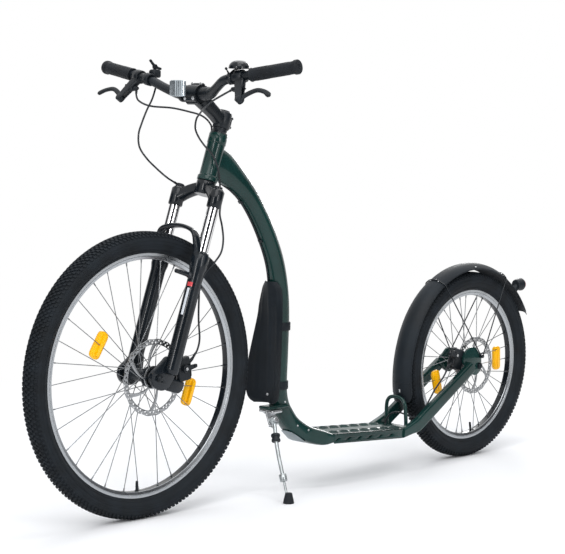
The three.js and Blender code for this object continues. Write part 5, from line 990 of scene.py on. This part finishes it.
STEM_MIDDLE = P(0, 0, 131.9 + 20.5)
BAR_IN_FORK = P(103.8, 0, 182.6)
ALONG = unit(BAR_IN_FORK - STEM_MIDDLE)
UP = np.cross(ALONG, Y) * -1


def clamp_half(first, last):
    """A shell round the thick middle of the handlebar, between two angles in degrees."""
    rows = []
    for t in np.linspace(radians(first), radians(last), 24):
        d = ALONG * cos(t) + UP * sin(t)
        rows.append([BAR_IN_FORK + d * r + Y * y
                     for r, y in ((16.3, 20.5), (20.9, 20.5), (20.9, -20.5), (16.3, -20.5))])
    return loft(rows)


def stem():
    parts = [turned([(14.6, 131.9), (19.4, 131.9), (20, 132.6), (20, 169), (18.8, 171.6), (16, 173), (0, 173.2)],
                    ORIGIN, Z, 56),
             turned([(8, 173.1), (8, 174.3), (6.6, 175.4), (3.4, 175.4), (3.2, 174), (0, 174)], ORIGIN, Z, 28)]
    parts.append(block(P(-16, 0, STEM_MIDDLE[2]), X, Y, Z, (16, 19, 33), 3))
    near = BAR_IN_FORK - ALONG * 15.9
    rows = [(P(4, 0, STEM_MIDDLE[2] - 4), 16, 15.6), (lerp(STEM_MIDDLE, near, 0.4) - Z * 2, 17, 15),
            (near - ALONG * 3, 19, 17.5)]
    parts.append(sweep(rows, Y, 3.2, 40, 16))
    for s in (1, -1):
        end = BAR_IN_FORK + Y * s * 21
        parts.append(turned([(20.4, 0), (19.4, 0.8), (16.2, 0.8)], end, -Y * s, 48))
    parts.append(clamp_half(95, 265))
    for s in (1, -1):
        parts.append(block(BAR_IN_FORK - ALONG * 5.5 + UP * s * 21, ALONG, Y, UP, (9, 41, 7.6), 1.6))
    return join(*parts)


piece("stem_body", forked(stem()), SATIN, "steering", ("stem",), angle=45)
face = [clamp_half(-84, 84)]
heads = []
for s in (1, -1):
    face.append(block(BAR_IN_FORK + ALONG * 5.4 + UP * s * 21, ALONG, Y, UP, (8.6, 41, 7.6), 1.6))
    for t in (1, -1):
        heads.append(socket_bolt(BAR_IN_FORK + ALONG * 9 + UP * s * 20.6 + Y * t * 14, ALONG, 4.1, 4.2))
piece("stem_face", forked(join(*face)), SATIN, "steering", ("stem_faceplate",), angle=45)
for z in (141, 163):
    heads.append(socket_bolt(P(-19, 9.2, z), Y, 3.9, 3.6))
    heads.append(rod(P(-19, -11.4, z), P(-19, -9, z), 3.2, 16))
heads.append(socket_bolt(P(0, 0, 174.2), Z, 3.2, 1.2))
piece("stem_bolts", forked(join(*heads)), BOLT, "steering")


def grip(side):
    start, end = bar_point(202), bar_point(322)
    axis = unit(end - start)
    length = np.linalg.norm(end - start) + 6
    profile = [(11.3, 0), (15.3, 0), (16, 0.8), (16, 2.6), (15, 4.2)]
    for k in range(24):
        h = 7 + k * 4.1
        profile += [(15.0, h), (15.0, h + 2.3), (14.5, h + 2.8), (14.5, h + 3.6)]
    profile += [(15, length - 11), (16.8, length - 9), (16.8, length - 2), (15.4, length - 0.3), (5.5, length),
                (5, length - 1), (0, length - 1)]
    pads = []
    side_way = unit(np.cross(axis, Z))
    other = np.cross(axis, side_way)
    for t in turns(10):
        out = side_way * cos(t) + other * sin(t)
        pads.append(block(start + axis * 30 + out * 14.7, axis, np.cross(axis, out), out, (36, 5, 1.0), 0.4))
    return on_side(join(turned(profile, start, axis, 56), *pads), side)


for label, s in SIDES:
    piece("handle_grip_" + label, grip(s), RUBBER, "steering", ("grip_" + label,), angle=30)

# --- levers and perches
DOWN = polar(1, radians(-57.5))
AXIS = -np.cross(DOWN, Y)
PIVOT = bar_point(LEVER_AT) + DOWN * 61
PIVOT[1] = 204
# The cables' lines as shares of the wheelbase; the rear one also has a part in front of the down tube
FRONT_CABLE = [[0.8996, 0.1369, 0.8282], [0.8921, 0.0996, 0.8166], [0.8822, 0.0622, 0.805], [0.8689, 0.0266, 0.7917],
               [0.8498, -0.0066, 0.7801], [0.8456, -0.0199, 0.7701], [0.8498, -0.0183, 0.7527],
               [0.8531, -0.005, 0.7353], [0.8498, 0.01, 0.7178], [0.8423, 0.0216, 0.7029], [0.8332, 0.0274, 0.6813],
               [0.829, 0.0307, 0.6556], [0.8282, 0.0324, 0.634], [0.8332, 0.0398, 0.6075], [0.8448, 0.0498, 0.5859],
               [0.8448, 0.0564, 0.5643], [0.8448, 0.0606, 0.5369], [0.8548, 0.0656, 0.5137], [0.8714, 0.0656, 0.4954],
               [0.8813, 0.0515, 0.4755], [0.8871, 0.0415, 0.4498], [0.8863, 0.0382, 0.4199], [0.8855, 0.0373, 0.3809],
               [0.8846, 0.0398, 0.3419], [0.8938, 0.0432, 0.3228], [0.9054, 0.044, 0.3095]]
LOCK_CABLE = [[0.873, -0.1062, 0.8407], [0.8772, -0.1062, 0.8282], [0.8855, -0.1062, 0.8075],
              [0.9012, -0.1037, 0.7859], [0.917, -0.0996, 0.7618], [0.9295, -0.0954, 0.7386],
              [0.932, -0.0896, 0.7137], [0.9195, -0.083, 0.6921], [0.9004, -0.0747, 0.6722],
              [0.8805, -0.0647, 0.6539], [0.8581, -0.0561, 0.6398]]
BAR_CABLE = [[0.8996, -0.1369, 0.8282], [0.9012, -0.1361, 0.8166], [0.8996, -0.1328, 0.8058],
             [0.8929, -0.1212, 0.7975], [0.883, -0.1087, 0.7934], [0.8531, -0.083, 0.7909], [0.8274, -0.0614, 0.7842],
             [0.8108, -0.0448, 0.7776], [0.8017, -0.0349, 0.7685], [0.7967, -0.0282, 0.756],
             [0.7992, -0.0257, 0.7386], [0.8008, -0.0257, 0.7154], [0.8008, -0.0257, 0.6929],
             [0.7975, -0.0241, 0.6689], [0.7925, -0.0116, 0.6481]]
DECK_CABLE = [[0.6241, -0.0083, 0.1842], [0.6149, -0.0066, 0.1593], [0.5925, -0.0033, 0.1328], [0.5643, 0, 0.1187],
              [0.5311, 0, 0.1095], [0.4988, 0, 0.1021], [0.4647, 0, 0.1021], [0.4149, -0.0017, 0.0996],
              [0.3651, -0.0033, 0.0971], [0.3154, -0.005, 0.0938], [0.2822, -0.0083, 0.0905],
              [0.2639, -0.0149, 0.0896], [0.2539, -0.0216, 0.0954], [0.2506, -0.0216, 0.1079],
              [0.2465, -0.0116, 0.122], [0.2407, 0.0025, 0.127], [0.2299, 0.0141, 0.1228], [0.2133, 0.0257, 0.1162],
              [0.1909, 0.0307, 0.122], [0.1776, 0.0324, 0.1378], [0.1635, 0.0332, 0.1552], [0.1502, 0.0332, 0.1709],
              [0.1344, 0.0328, 0.1846], [0.1203, 0.032, 0.1958], [0.1087, 0.0303, 0.2066], [0.1004, 0.0282, 0.2166]]
front_line, lock_line, bar_line, deck_line = (
    np.array(line) * WHEELBASE for line in (FRONT_CABLE, LOCK_CABLE, BAR_CABLE, DECK_CABLE))
across = [4.6, 2.3, 0, -2.3, -4.6] + [-11.75] * 4
tube_line = [front_of_tube(k, y, 2.9) for k, y in enumerate(across, 2)]
rear_line = np.vstack([bar_line, tube_line, deck_line])


def cable(name, line, node):
    """A cable along its line, with a ferrule at each end; it belongs to no body, and its mesh is baked in place."""
    ends = []
    for a, b in ((line[0], line[1]), (line[-1], line[-2])):
        d = unit(b - a)
        ends.append(rod(a, a + d * 13, FERRULE_R, 16))
    hose = piece(name, tube(line, HOSE_R, 14, 4), JACKET, None, (node,))
    ferrules = piece(name + "_ferrules", join(*ends), SATIN, None)
    for made in (hose, ferrules):
        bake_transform(made)


cable("front_brake_hose", front_line, "front_brake_cable")
cable("lockout_hose", lock_line, "lockout_cable")
cable("rear_brake_hose", rear_line, "rear_brake_cable")


def perch(side):
    clamp_at = bar_point(LEVER_AT)
    along = unit(bar_point(LEVER_AT + 11) - bar_point(LEVER_AT - 11))
    parts = [turned(band(BAR_BORE, 14.6, 16, 11, 9.6), clamp_at, along, 48)]
    far = lerp(clamp_at, PIVOT, 0.55)
    for s in (1, -1):
        off = AXIS * s * 5.9
        rows = [(far + off - DOWN * 8, 1.9, 11.6), (far + off, 1.9, 10.2), (lerp(far, PIVOT, 0.5) + off, 1.6, 8.8),
                (PIVOT + off, 1.6, 8.4)]
        parts.append(sweep(rows, AXIS, 5, 28, 12))
        parts.append(turned([(9, 0), (9, 2.4), (8.2, 3.0), (0, 3.0)], PIVOT + AXIS * s * 4.5, AXIS * s, 32))
        parts.append(turned([(4.4, 0), (4.4, 0.5), (3.6, 0.9), (2.2, 0.9), (2.0, 0.2), (0, 0.2)],
                            PIVOT + AXIS * s * 6.7, AXIS * s, 24))
    rows = [(clamp_at + DOWN * 4, 8.4, 13.2), (lerp(clamp_at, PIVOT, 0.3), 8.3, 13),
            (lerp(clamp_at, PIVOT, 0.48), 8.1, 12), (far + DOWN * 1, 7.8, 10.2)]
    parts.append(sweep(rows, AXIS, 4, 36, 16))
    start = lerp(clamp_at, PIVOT, 0.62)
    first = front_line[0] if side > 0 else rear_line[0] * P(1, -1, 1)
    stop = first + unit(first - start) * 4.6
    reach = np.linalg.norm(stop - start)
    barrel = [(0, 4), (5.5, 5), (5.5, reach * 0.5), (5.0, reach * 0.5 + 0.6), (5.0, reach * 0.55),
              (5.5, reach * 0.55 + 0.6), (5.5, reach - 6), (4.4, reach - 5), (4.4, reach - 1.4), (3.6, reach),
              (0, reach)]
    parts.append(turned(barrel, start, first - start, 32))
    a = unit(first - start)
    u = unit(np.cross(a, Z))
    v = np.cross(a, u)
    for t in turns(12):
        out = u * cos(t) + v * sin(t)
        parts.append(rod(start + a * (reach * 0.62) + out * 5.2, start + a * (reach - 7) + out * 5.2, 0.55, 6))
    pin = rod(PIVOT - AXIS * 7, PIVOT + AXIS * 7, 2.9, 20)
    lug = block(clamp_at - X * 15 - Z * 7, X, along, Z, (7, 15, 9), 1.6)
    return on_side(join(*parts, pin, lug), side)


def lever(side):
    shares = [(0, 0, 0.9), (0.2, 0.75, 0.95), (0.47, 1.25, 0.85), (0.75, 1.1, 0.85), (0.95, 0.7, 1), (1, 0.6, 0.6)]
    rows = [(PIVOT + Y * r * 88 - DOWN * d * 20, 4 * (1 - r * 0.2), 6.5 * t) for r, d, t in shares]
    eye = turned(band(3.2, 8.2, 9, 4, 3.2), PIVOT, AXIS, 36)
    tip = ball(PIVOT + Y * 86.4 - DOWN * 12.4, 4.0, 16)
    return on_side(join(sweep(rows, AXIS, 2.6, 28, 48), eye, tip), side)


for label, s in SIDES:
    piece("perch_" + label, perch(s), SATIN, "steering", ("lever_perch_" + label,), angle=45)
    piece("lever_blade_" + label, lever(s), SATIN, label + "_lever", ("brake_lever_" + label,),
          angle=45)
    at = P(bar_point(LEVER_AT)[0] - 15, s * LEVER_AT, bar_point(LEVER_AT)[2] - 11.5)
    piece("perch_screw_" + label, socket_bolt(at, -Z, 3, 2.6), BOLT, "steering")

# --- bell, reflector, remote
BELL = P(bar_point(LEVER_AT)[0], 168, BAR[2] + 43.5 + 15)


def bell():
    dome = curve([(0, 17.8), (9.3, 17.0), (17.2, 13.7), (22.5, 7.6), (24.5, 0)], 26)
    outside = [(max(r, 0), h) for r, h in dome]
    lip = [(24.5, -0.6), (23.9, -1), (22.9, -0.6)]
    inside = [(max(r - 1.6, 0.01) if r > 3 else 0.01, h - 1.6) for r, h in dome[::-1] if h > 1.7]
    parts = [turned(outside + lip + inside, BELL, Z, 64)]
    parts.append(turned([(0, 16), (5, 15), (5, -2.5), (0, -2.5)], BELL, Z, 28))
    parts.append(turned([(0, 18.7), (2.6, 18.5), (4.4, 17.4)], BELL - Z * 0.9, Z, 28))
    at = bar_point(148)
    along = unit(bar_point(153) - bar_point(143))
    parts.append(turned(band(BAR_BORE, 13.7, 14.5, 5, 4.2), at, along, 48))
    start = at + Z * 12.4
    shoulder = lerp(start, BELL, 0.45)
    shoulder[2] = BELL[2] - 4.1
    parts.append(sweep([(start, 5, 1.6), (shoulder, 5, 1.6), (BELL - Z * 1.3, 5, 1.6)], X, 4, 20, 14))
    return join(*parts)


piece("bell_dome", bell(), BLACK, "steering", ("bell",), angle=50)
foot = bar_point(148)
up = polar(1, radians(52))
base = foot + up * 14.8
coil_side = unit(np.cross(up, Y)) * 1.7
spring = [base + up * k * 0.16 + coil_side * cos(k * 0.9) + Y * 1.7 * sin(k * 0.9) for k in range(40)]
piece("striker_arm", join(rod(base, base + up * 13, 1.5, 14), ball(base + up * 13, 3.3, 20),
                          tube(spring, 0.45, 6, 1.2)), SATIN,
      "striker", ("bell_striker",))

MIRROR = P(BAR[0] + 37, -25, BAR[2] + 12)


def reflector():
    rings = []
    for w in np.linspace(-1, 1, 41):
        y = MIRROR[1] + w * 26.5
        back = MIRROR[0] - 4.5
        flute = 0.35 * cos(w * 20 * pi / 2) - 0.35
        face_x = back + 9 - 6 * w * w + flute
        high = 19 * (1 - 0.12 * w ** 6)
        rings.append([P(back, y, MIRROR[2] - high), P(face_x - 1.2, y, MIRROR[2] - high),
                      P(face_x, y, MIRROR[2] - high + 1.2),
                      P(face_x, y, MIRROR[2] + high - 1.2), P(face_x - 1.2, y, MIRROR[2] + high),
                      P(back, y, MIRROR[2] + high)])
    return loft(rings)


# The reflector's lens carries painted reflection streaks in its colour.
piece("reflector_glass", reflector(), STREAKED_LENS, "steering", ("front_reflector",), angle=30)
ring_at = P(BAR[0], -38, BAR[2])
hold = turned(band(16.1, 19, 19.9, 5.5, 4.6), ring_at, Y, 48)
arm = sweep([(ring_at + X * 15.9, 5.5, 4), (P(MIRROR[0] - 5.2, -38, MIRROR[2] - 1.6), 5.5, 4)], Y, 4, 24, 8)
piece("reflector_holder", join(hold, arm), PLASTIC, "steering", ("front_reflector_bracket",),
      angle=45)

REMOTE = bar_point(-128)
TOP = REMOTE + P(-18, 0, 14)


def remote():
    along = unit(bar_point(-118) - bar_point(-138))
    parts = [turned(band(BAR_BORE, 14, 15, 10, 9), REMOTE, along, 48), block(TOP, X, Y, Z, (24, 20, 19.2), 3.5)]
    parts.append(turned([(8.6, 0), (9.4, 0.8), (9.4, 2), (8.6, 2.6), (0, 2.6)], TOP + Z * 7.6, Z, 36))
    parts.append(socket_bolt(TOP + P(0, 9.6, -3), Y, 3, 1.2))
    return join(*parts)


piece("remote_body", remote(), PLASTIC, "steering", ("lockout_remote",), angle=45)
hinge = TOP + Z * (9.6 + 6.4 + 0.3)
thumbs = [turned([(0, -3), (5.8, -3), (6.4, -2.4), (6.4, 2.4), (5.8, 3), (0, 3)], hinge, Y, 32)]
for degrees, long in ((45, 22.5), (194, 19.5)):
    d = polar(1, radians(degrees))
    thumbs.append(sweep([(hinge, 3, 4), (hinge + d * long * 0.6, 2.8, 3.1), (hinge + d * long * 0.95, 3, 2.9),
                         (hinge + d * long, 2.4, 2)], Y, 3, 24, 16))
piece("remote_thumb", join(*thumbs), PLASTIC, "remote_lever", ("lockout_lever",), angle=45)


# --- disc calipers and the arms that the cables pull
def caliper(centre, orbit, angle, inner, outer, plane, pivot, cable_end):
    out = polar(1, angle)
    up = P(-sin(angle), 0, cos(angle))
    middle = centre + out * orbit
    parts = []
    for low, high in ((inner, plane - 2.5), (plane + 2.5, outer)):
        place = middle + Y * (low + high) / 2
        parts.append(block(place - up * 1.5, out, up, Y, (40, 57, high - low), 4))
    bridge = middle + out * 17 + Y * (inner + outer) / 2
    parts.append(block(bridge, out, up, Y, (8, 40, outer - inner), 2.5))
    for k in (-1, 1):
        lug = middle + up * k * 25.5 + out * 3 + Y * (plane - 6)
        parts.append(rod(lug - Y * 6, lug + Y * 2.5, 5.2, 24))
    at = centre + P(pivot[0], 0, pivot[2])
    face = pivot[1]
    parts.append(turned([(12.4, 0), (13, 1), (13, face - plane - 6), (11.6, face - plane - 4.4),
                         (11.6, face - plane - 2.7)],
                        at + Y * (plane + 2.6), Y, 48))
    for t in turns(10):
        parts.append(rod(at + polar(12.6, t, plane + 4), at + polar(12.6, t, face - 4), 1.1, 8))
    start = centre + polar(orbit, angle, cable_end[1])
    reach = np.linalg.norm(cable_end - start)
    parts.append(turned([(5, 0), (5, reach * 0.55), (4, reach * 0.6), (4, reach * 0.9), (3, reach)], start,
                        cable_end - start, 28))
    screws = []
    for k in (-1, 1):
        lug = middle + up * k * 25.5 + out * 3
        screws.append(socket_bolt(lug + Y * (plane - 12.2), -Y, 4, 2.4))
    screws.append(hexagon(at + Y * (face + 4.4), Y, 4.2, 2.4))
    return join(*parts), join(*screws)


def pull_arm(centre, pivot, turn, length):
    d = polar(1, turn)
    across = unit(np.cross(d, Y))
    at = centre + pivot
    eye = turned([(4.4, 0.3), (8.2, 0.3), (9, 1), (9, 3.6), (8.2, 4.3), (4.4, 4.3), (4.4, 0.3)], at, Y, 36)
    blade = loft([section(at + Y * 2.3 + d * length * s, across, Y, 9 * w, 2, 6, 24) for s, w in
                  [(0.05, 0.8), (0.3, 0.72), (0.6, 0.6), (0.85, 0.55), (0.97, 0.45), (1, 0.3)]])
    clamp = turned([(0, 4.2), (3.6, 4.2), (3.6, 6.0), (2.6, 6.6), (0, 6.6)], at + d * length * 0.82, Y, 20)
    return join(eye, blade, clamp)


front_pivot = polar(85, radians(170), 61)
rear_pivot = polar(101, radians(21), 41.7)
for label, centre, body, orbit, degrees, inner, outer, plane, pivot, line in (
        ("front", FRONT, "fork_slider", 85, 172, 27, 59, 41, front_pivot, front_line),
        ("rear", REAR, "frame", 84, 17, 19.5, 41.7, 31, rear_pivot, rear_line)):
    shell, screws = caliper(centre, orbit, radians(degrees), inner, outer, plane, pivot, line[-1])
    piece(label + "_caliper_body", shell, SATIN, body, (label + "_caliper",), angle=40)
    piece(label + "_caliper_screws", screws, BOLT, body)
for label, centre, pivot, degrees in (("front", FRONT, front_pivot, 170), ("rear", REAR, rear_pivot, 14)):
    piece(label + "_pull_arm", pull_arm(centre, pivot, radians(degrees), 34), SATIN, label + "_arm",
          (label + "_brake_arm",), angle=40)

# --- kickstand
STAND = P(803, 42, 191)
GROUND_UP = P(0, -sin(LEAN), cos(LEAN))
SOLE = P(838, 130, 130 * tan(LEAN) - 0.22)
STAND_DOWN = SOLE - STAND
HINGE = unit(np.cross(STAND_DOWN, P(609, 96, 114) - STAND))
KNEE = STAND + STAND_DOWN * 0.45 + X * 6
COLLAR = STAND + STAND_DOWN * 0.21 + X * 5
LOWER = unit(SOLE - KNEE)
CLAMP_END = np.linalg.norm(SOLE - KNEE) * 0.52
flange_at = P(FRAMES[10][0][0] + TUBE_HALF + 18, 18, 219 - 4 - GAP - 3.5)
cheek_up = unit(Z - HINGE * Z.dot(HINGE))
cheek_across = -np.cross(cheek_up, HINGE)
cheek_at = STAND - HINGE * (5.8 + 2) + cheek_up * 8.5
bracket = [block(flange_at, X, Y, Z, (36, 46.8, 6.8), 1.4),
           block(cheek_at, cheek_across, cheek_up, HINGE, (29, 35, 4), 1.4)]
bracket.append(rod(STAND - HINGE * 7.6, STAND + HINGE * 7.8, 4, 24))
bracket.append(hexagon(STAND + HINGE * 5.9, HINGE, 6.7, 3.8))
bracket.append(turned([(6, 0), (6, 1.6), (4.6, 2.2), (0, 2.2)], STAND - HINGE * 9.8, HINGE, 24))
piece("stand_mount", join(*bracket), BOLT, "frame", ("stand_bracket",), angle=40)
piece("stand_mount_bolts", join(hexagon(flange_at + P(-6, 8, -3.3), -Z, 5.2, 3.4),
                                hexagon(flange_at + P(10, -8, -3.3), -Z, 5.2, 3.4)),
      BOLT, "frame")

fold = unit(COLLAR - STAND)
tube_end = KNEE + LOWER * CLAMP_END
SPRING_TOP, SPRING_END = P(799, 15, 206), P(793, 20, 174)
SPRING_WAY = unit(SPRING_END - SPRING_TOP)
leg = [turned(band(4.4, 10.2, 11, 5.5, 4.7), STAND, HINGE, 40)]
leg_line = [STAND, COLLAR - fold * 6, COLLAR + fold * 4, KNEE, KNEE + LOWER * 12, lerp(KNEE, tube_end, 0.6), tube_end]
leg.append(tube(leg_line, 4.9, 24, 3))
leg.append(rod(SPRING_END + SPRING_WAY * 0.3, SPRING_END + SPRING_WAY * 1.8, 5.6, 24))
leg.append(rod(SPRING_END + SPRING_WAY * 1.4, STAND + STAND_DOWN * 0.11, 2.1, 12))
piece("stand_upper", join(*leg), ZINC, "stand", ("stand_leg",), angle=40)
collar = turned([(5, -10), (10.4, -10), (11.5, -8.4), (11.5, -3.6), (9.6, -2.8), (9.6, 2.6), (11.2, 3.6), (11.2, 8.4),
                 (9.8, 10), (5, 10), (5, -10)], COLLAR, fold, 40)
piece("stand_collar", collar, PLASTIC, "stand")
clamp = [turned([(4.9, -18), (8.4, -18), (9.5, -16.6), (9.5, -1.4), (8.4, 0), (3.6, 0), (3.6, -18), (4.9, -18)],
                tube_end, LOWER, 36)]
flip_way = unit(np.cross(LOWER, Y))
flip_at = tube_end - LOWER * 9
clamp.append(rod(flip_at - flip_way * 10.5, flip_at + flip_way * 10.5, 2.2, 16))
piece("stand_clamp", join(*clamp), ZINC, "stand", angle=40)
piece("stand_inner", rod(KNEE + LOWER * 28, SOLE - LOWER * 10.4, 3.15, 24), ZINC, "stand_end",
      ("stand_lower",))
sole_profile = [(0, 0), (12.4, 0), (13.5, 1.2), (13.4, 3.6), (12.8, 4.2), (12.6, 7), (11.6, 12), (10.0, 18),
                (8.8, 23.4), (8.2, 25.4), (6.6, 26), (0, 26)]
piece("stand_shoe", turned(sole_profile, SOLE, GROUND_UP, 48), RUBBER, "stand_end", ("stand_foot",))

coil = []
count = 9 * 24
rise = (np.linalg.norm(SPRING_END - SPRING_TOP) - 1.5) / count
side_way = unit(np.cross(SPRING_WAY, Y))
beside_way = np.cross(SPRING_WAY, side_way)
for i in range(count + 1):
    t = 2 * pi * i / 24
    coil.append(SPRING_TOP + SPRING_WAY * (0.75 + i * rise)
                + side_way * 4.8 * cos(t) + beside_way * 4.8 * sin(t))
spring = piece("stand_coil", tube(coil, 0.75, 8, 1.2, smooth=False), BOLT, None, ("stand_spring",))
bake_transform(spring)


# --- floor, light and camera
def background_rays(tree):
    """How far a ray is one that sees the background: from the camera, off a gloss or through glass."""
    rays = new_node(tree, "LightPath").outputs
    either = new_node(tree, "Math", {0: rays["Is Camera Ray"], 1: rays["Is Glossy Ray"]}, operation="MAXIMUM")
    return new_node(tree, "Math", {0: either.outputs["Value"], 1: rays["Is Transmission Ray"]},
                    operation="MAXIMUM").outputs["Value"]


def stage_material():
    """A pale floor that keeps the shadow near the object and turns white with distance."""
    made = bpy.data.materials.new("stage_floor")
    made.use_nodes = True
    tree = made.node_tree
    tree.nodes.remove(tree.nodes["Principled BSDF"])
    matt = new_node(tree, "BsdfDiffuse", {"Color": (0.94, 0.945, 0.96, 1)})
    glow = new_node(tree, "Emission", {"Color": (1, 1, 1, 1)})
    place = new_node(tree, "TexCoord").outputs["Object"]
    far = new_node(tree, "VectorMath", {0: place}, operation="LENGTH")
    share = new_node(tree, "MapRange", {"Value": far.outputs["Value"], "From Min": 0.9, "From Max": 2.4},
                     interpolation_type="SMOOTHSTEP")
    seen = new_node(tree, "Math", {0: share.outputs["Result"], 1: background_rays(tree)}, operation="MULTIPLY")
    mix = new_node(tree, "MixShader", {"Fac": seen.outputs["Value"], 1: matt.outputs["BSDF"],
                                       2: glow.outputs["Emission"]})
    tree.links.new(mix.outputs["Shader"], tree.nodes["Material Output"].inputs["Surface"])
    return made


def stage_object(name, points, faces, look):
    mesh = bpy.data.meshes.new(name)
    mesh.from_pydata(points, [], faces)
    mesh.materials.append(look)
    made = bpy.data.objects.new(name, mesh)
    bpy.context.scene.collection.objects.link(made)
    return made


size = 14.0
stage_object("floor", [(-size, -size, 0), (size, -size, 0), (size, size, 0), (-size, size, 0)], [(0, 1, 2, 3)],
             stage_material())

# Dark studio walls that only reflections see, on three sides, so that gloss and chrome show contrast
wall_look = bpy.data.materials.new("wall_dark")
wall_look.use_nodes = True
feed(wall_look.node_tree, wall_look.node_tree.nodes["Principled BSDF"],
     {"Base Color": (0.03, 0.03, 0.035, 1), "Roughness": 0.9})
WALL_AWAY, WALL_LOW, WALL_HIGH, WALL_STEPS = 4.4, 0.02, 2.9, 12
wall_points, wall_faces = [], []
for middle, half_angle in ((44, 22), (134, 26), (-46, 26)):
    for step in range(WALL_STEPS):
        ends = [radians(middle + half_angle * (k / (WALL_STEPS / 2) - 1)) for k in (step, step + 1)]
        first = len(wall_points)
        wall_points += [(*spot(WALL_AWAY, t), z) for t in ends for z in (WALL_LOW, WALL_HIGH)]
        wall_faces.append((first, first + 1, first + 3, first + 2))
walls = stage_object("studio_walls", wall_points, wall_faces, wall_look)
walls.visible_camera = False
walls.visible_diffuse = False
walls.visible_shadow = False
walls.visible_transmission = False

world = bpy.data.worlds.new("studio")
bpy.context.scene.world = world
world.use_nodes = True
tree = world.node_tree
for node in list(tree.nodes):
    tree.nodes.remove(node)
soft = new_node(tree, "Background", {"Color": (0.95, 0.97, 1.0, 1), "Strength": 0.5})
plain = new_node(tree, "Background", {"Color": (1, 1, 1, 1), "Strength": 1.0})
mix = new_node(tree, "MixShader", {"Fac": background_rays(tree), 1: soft.outputs["Background"],
                                   2: plain.outputs["Background"]})
new_node(tree, "OutputWorld", {"Surface": mix.outputs["Shader"]})


def light(name, kind, place, aim, strength, **sizes):
    data = bpy.data.lights.new(name, kind)
    data.energy = strength
    for key, value in sizes.items():
        setattr(data, key, value)
    made = bpy.data.objects.new(name, data)
    made.location = place
    made.rotation_mode = "QUATERNION"
    made.rotation_quaternion = (Vector(aim) - Vector(place)).to_track_quat("-Z", "Y")
    bpy.context.scene.collection.objects.link(made)


light("key", "SUN", (1.6, 1.9, 3.0), (0, 0, 0.4), 1.0, angle=radians(40))
light("back_key", "SUN", (-2.0, -1.2, 3.4), (0, 0, 0.4), 0.75, angle=radians(50))
for name, place, aim, strength, wide, tall in (
        ("strip_front", (3.3, 1.0, 1.5), (0.1, 0, 0.7), 22, 0.3, 1.7),
        ("strip_side", (0.9, 3.4, 1.5), (0, 0, 0.6), 22, 0.3, 1.7),
        ("strip_rear", (-3.0, -1.8, 1.6), (0, 0, 0.6), 22, 0.4, 1.7),
        ("top", (0.2, 0.4, 3.2), (0, 0, 0.3), 16, 1.6, 0.5)):
    light(name, "AREA", place, aim, strength, shape="RECTANGLE", size=wide, size_y=tall)

# The photo's camera: a focal length of 1834.73 pixels, in a picture that is 565 pixels wide
azimuth, elevation = radians(134.11), radians(4.14)
back = Vector((sin(azimuth) * cos(elevation), -cos(azimuth) * cos(elevation), sin(elevation)))
target = (Vector((725.09, 0, 537.95)) + Vector(SHIFT)) / 1000
eye = bpy.data.cameras.new("view")
eye.sensor_width = 36
eye.lens = 1834.73 * eye.sensor_width / 565
eye.clip_start = 0.05
eye.clip_end = 60
camera = bpy.data.objects.new("view", eye)
camera.location = target + back * 4.58351
camera.rotation_mode = "QUATERNION"
camera.rotation_quaternion = (-back).to_track_quat("-Z", "Y")
bpy.context.scene.collection.objects.link(camera)
bpy.context.scene.camera = camera
bpy.context.scene.view_settings.view_transform = "Standard"
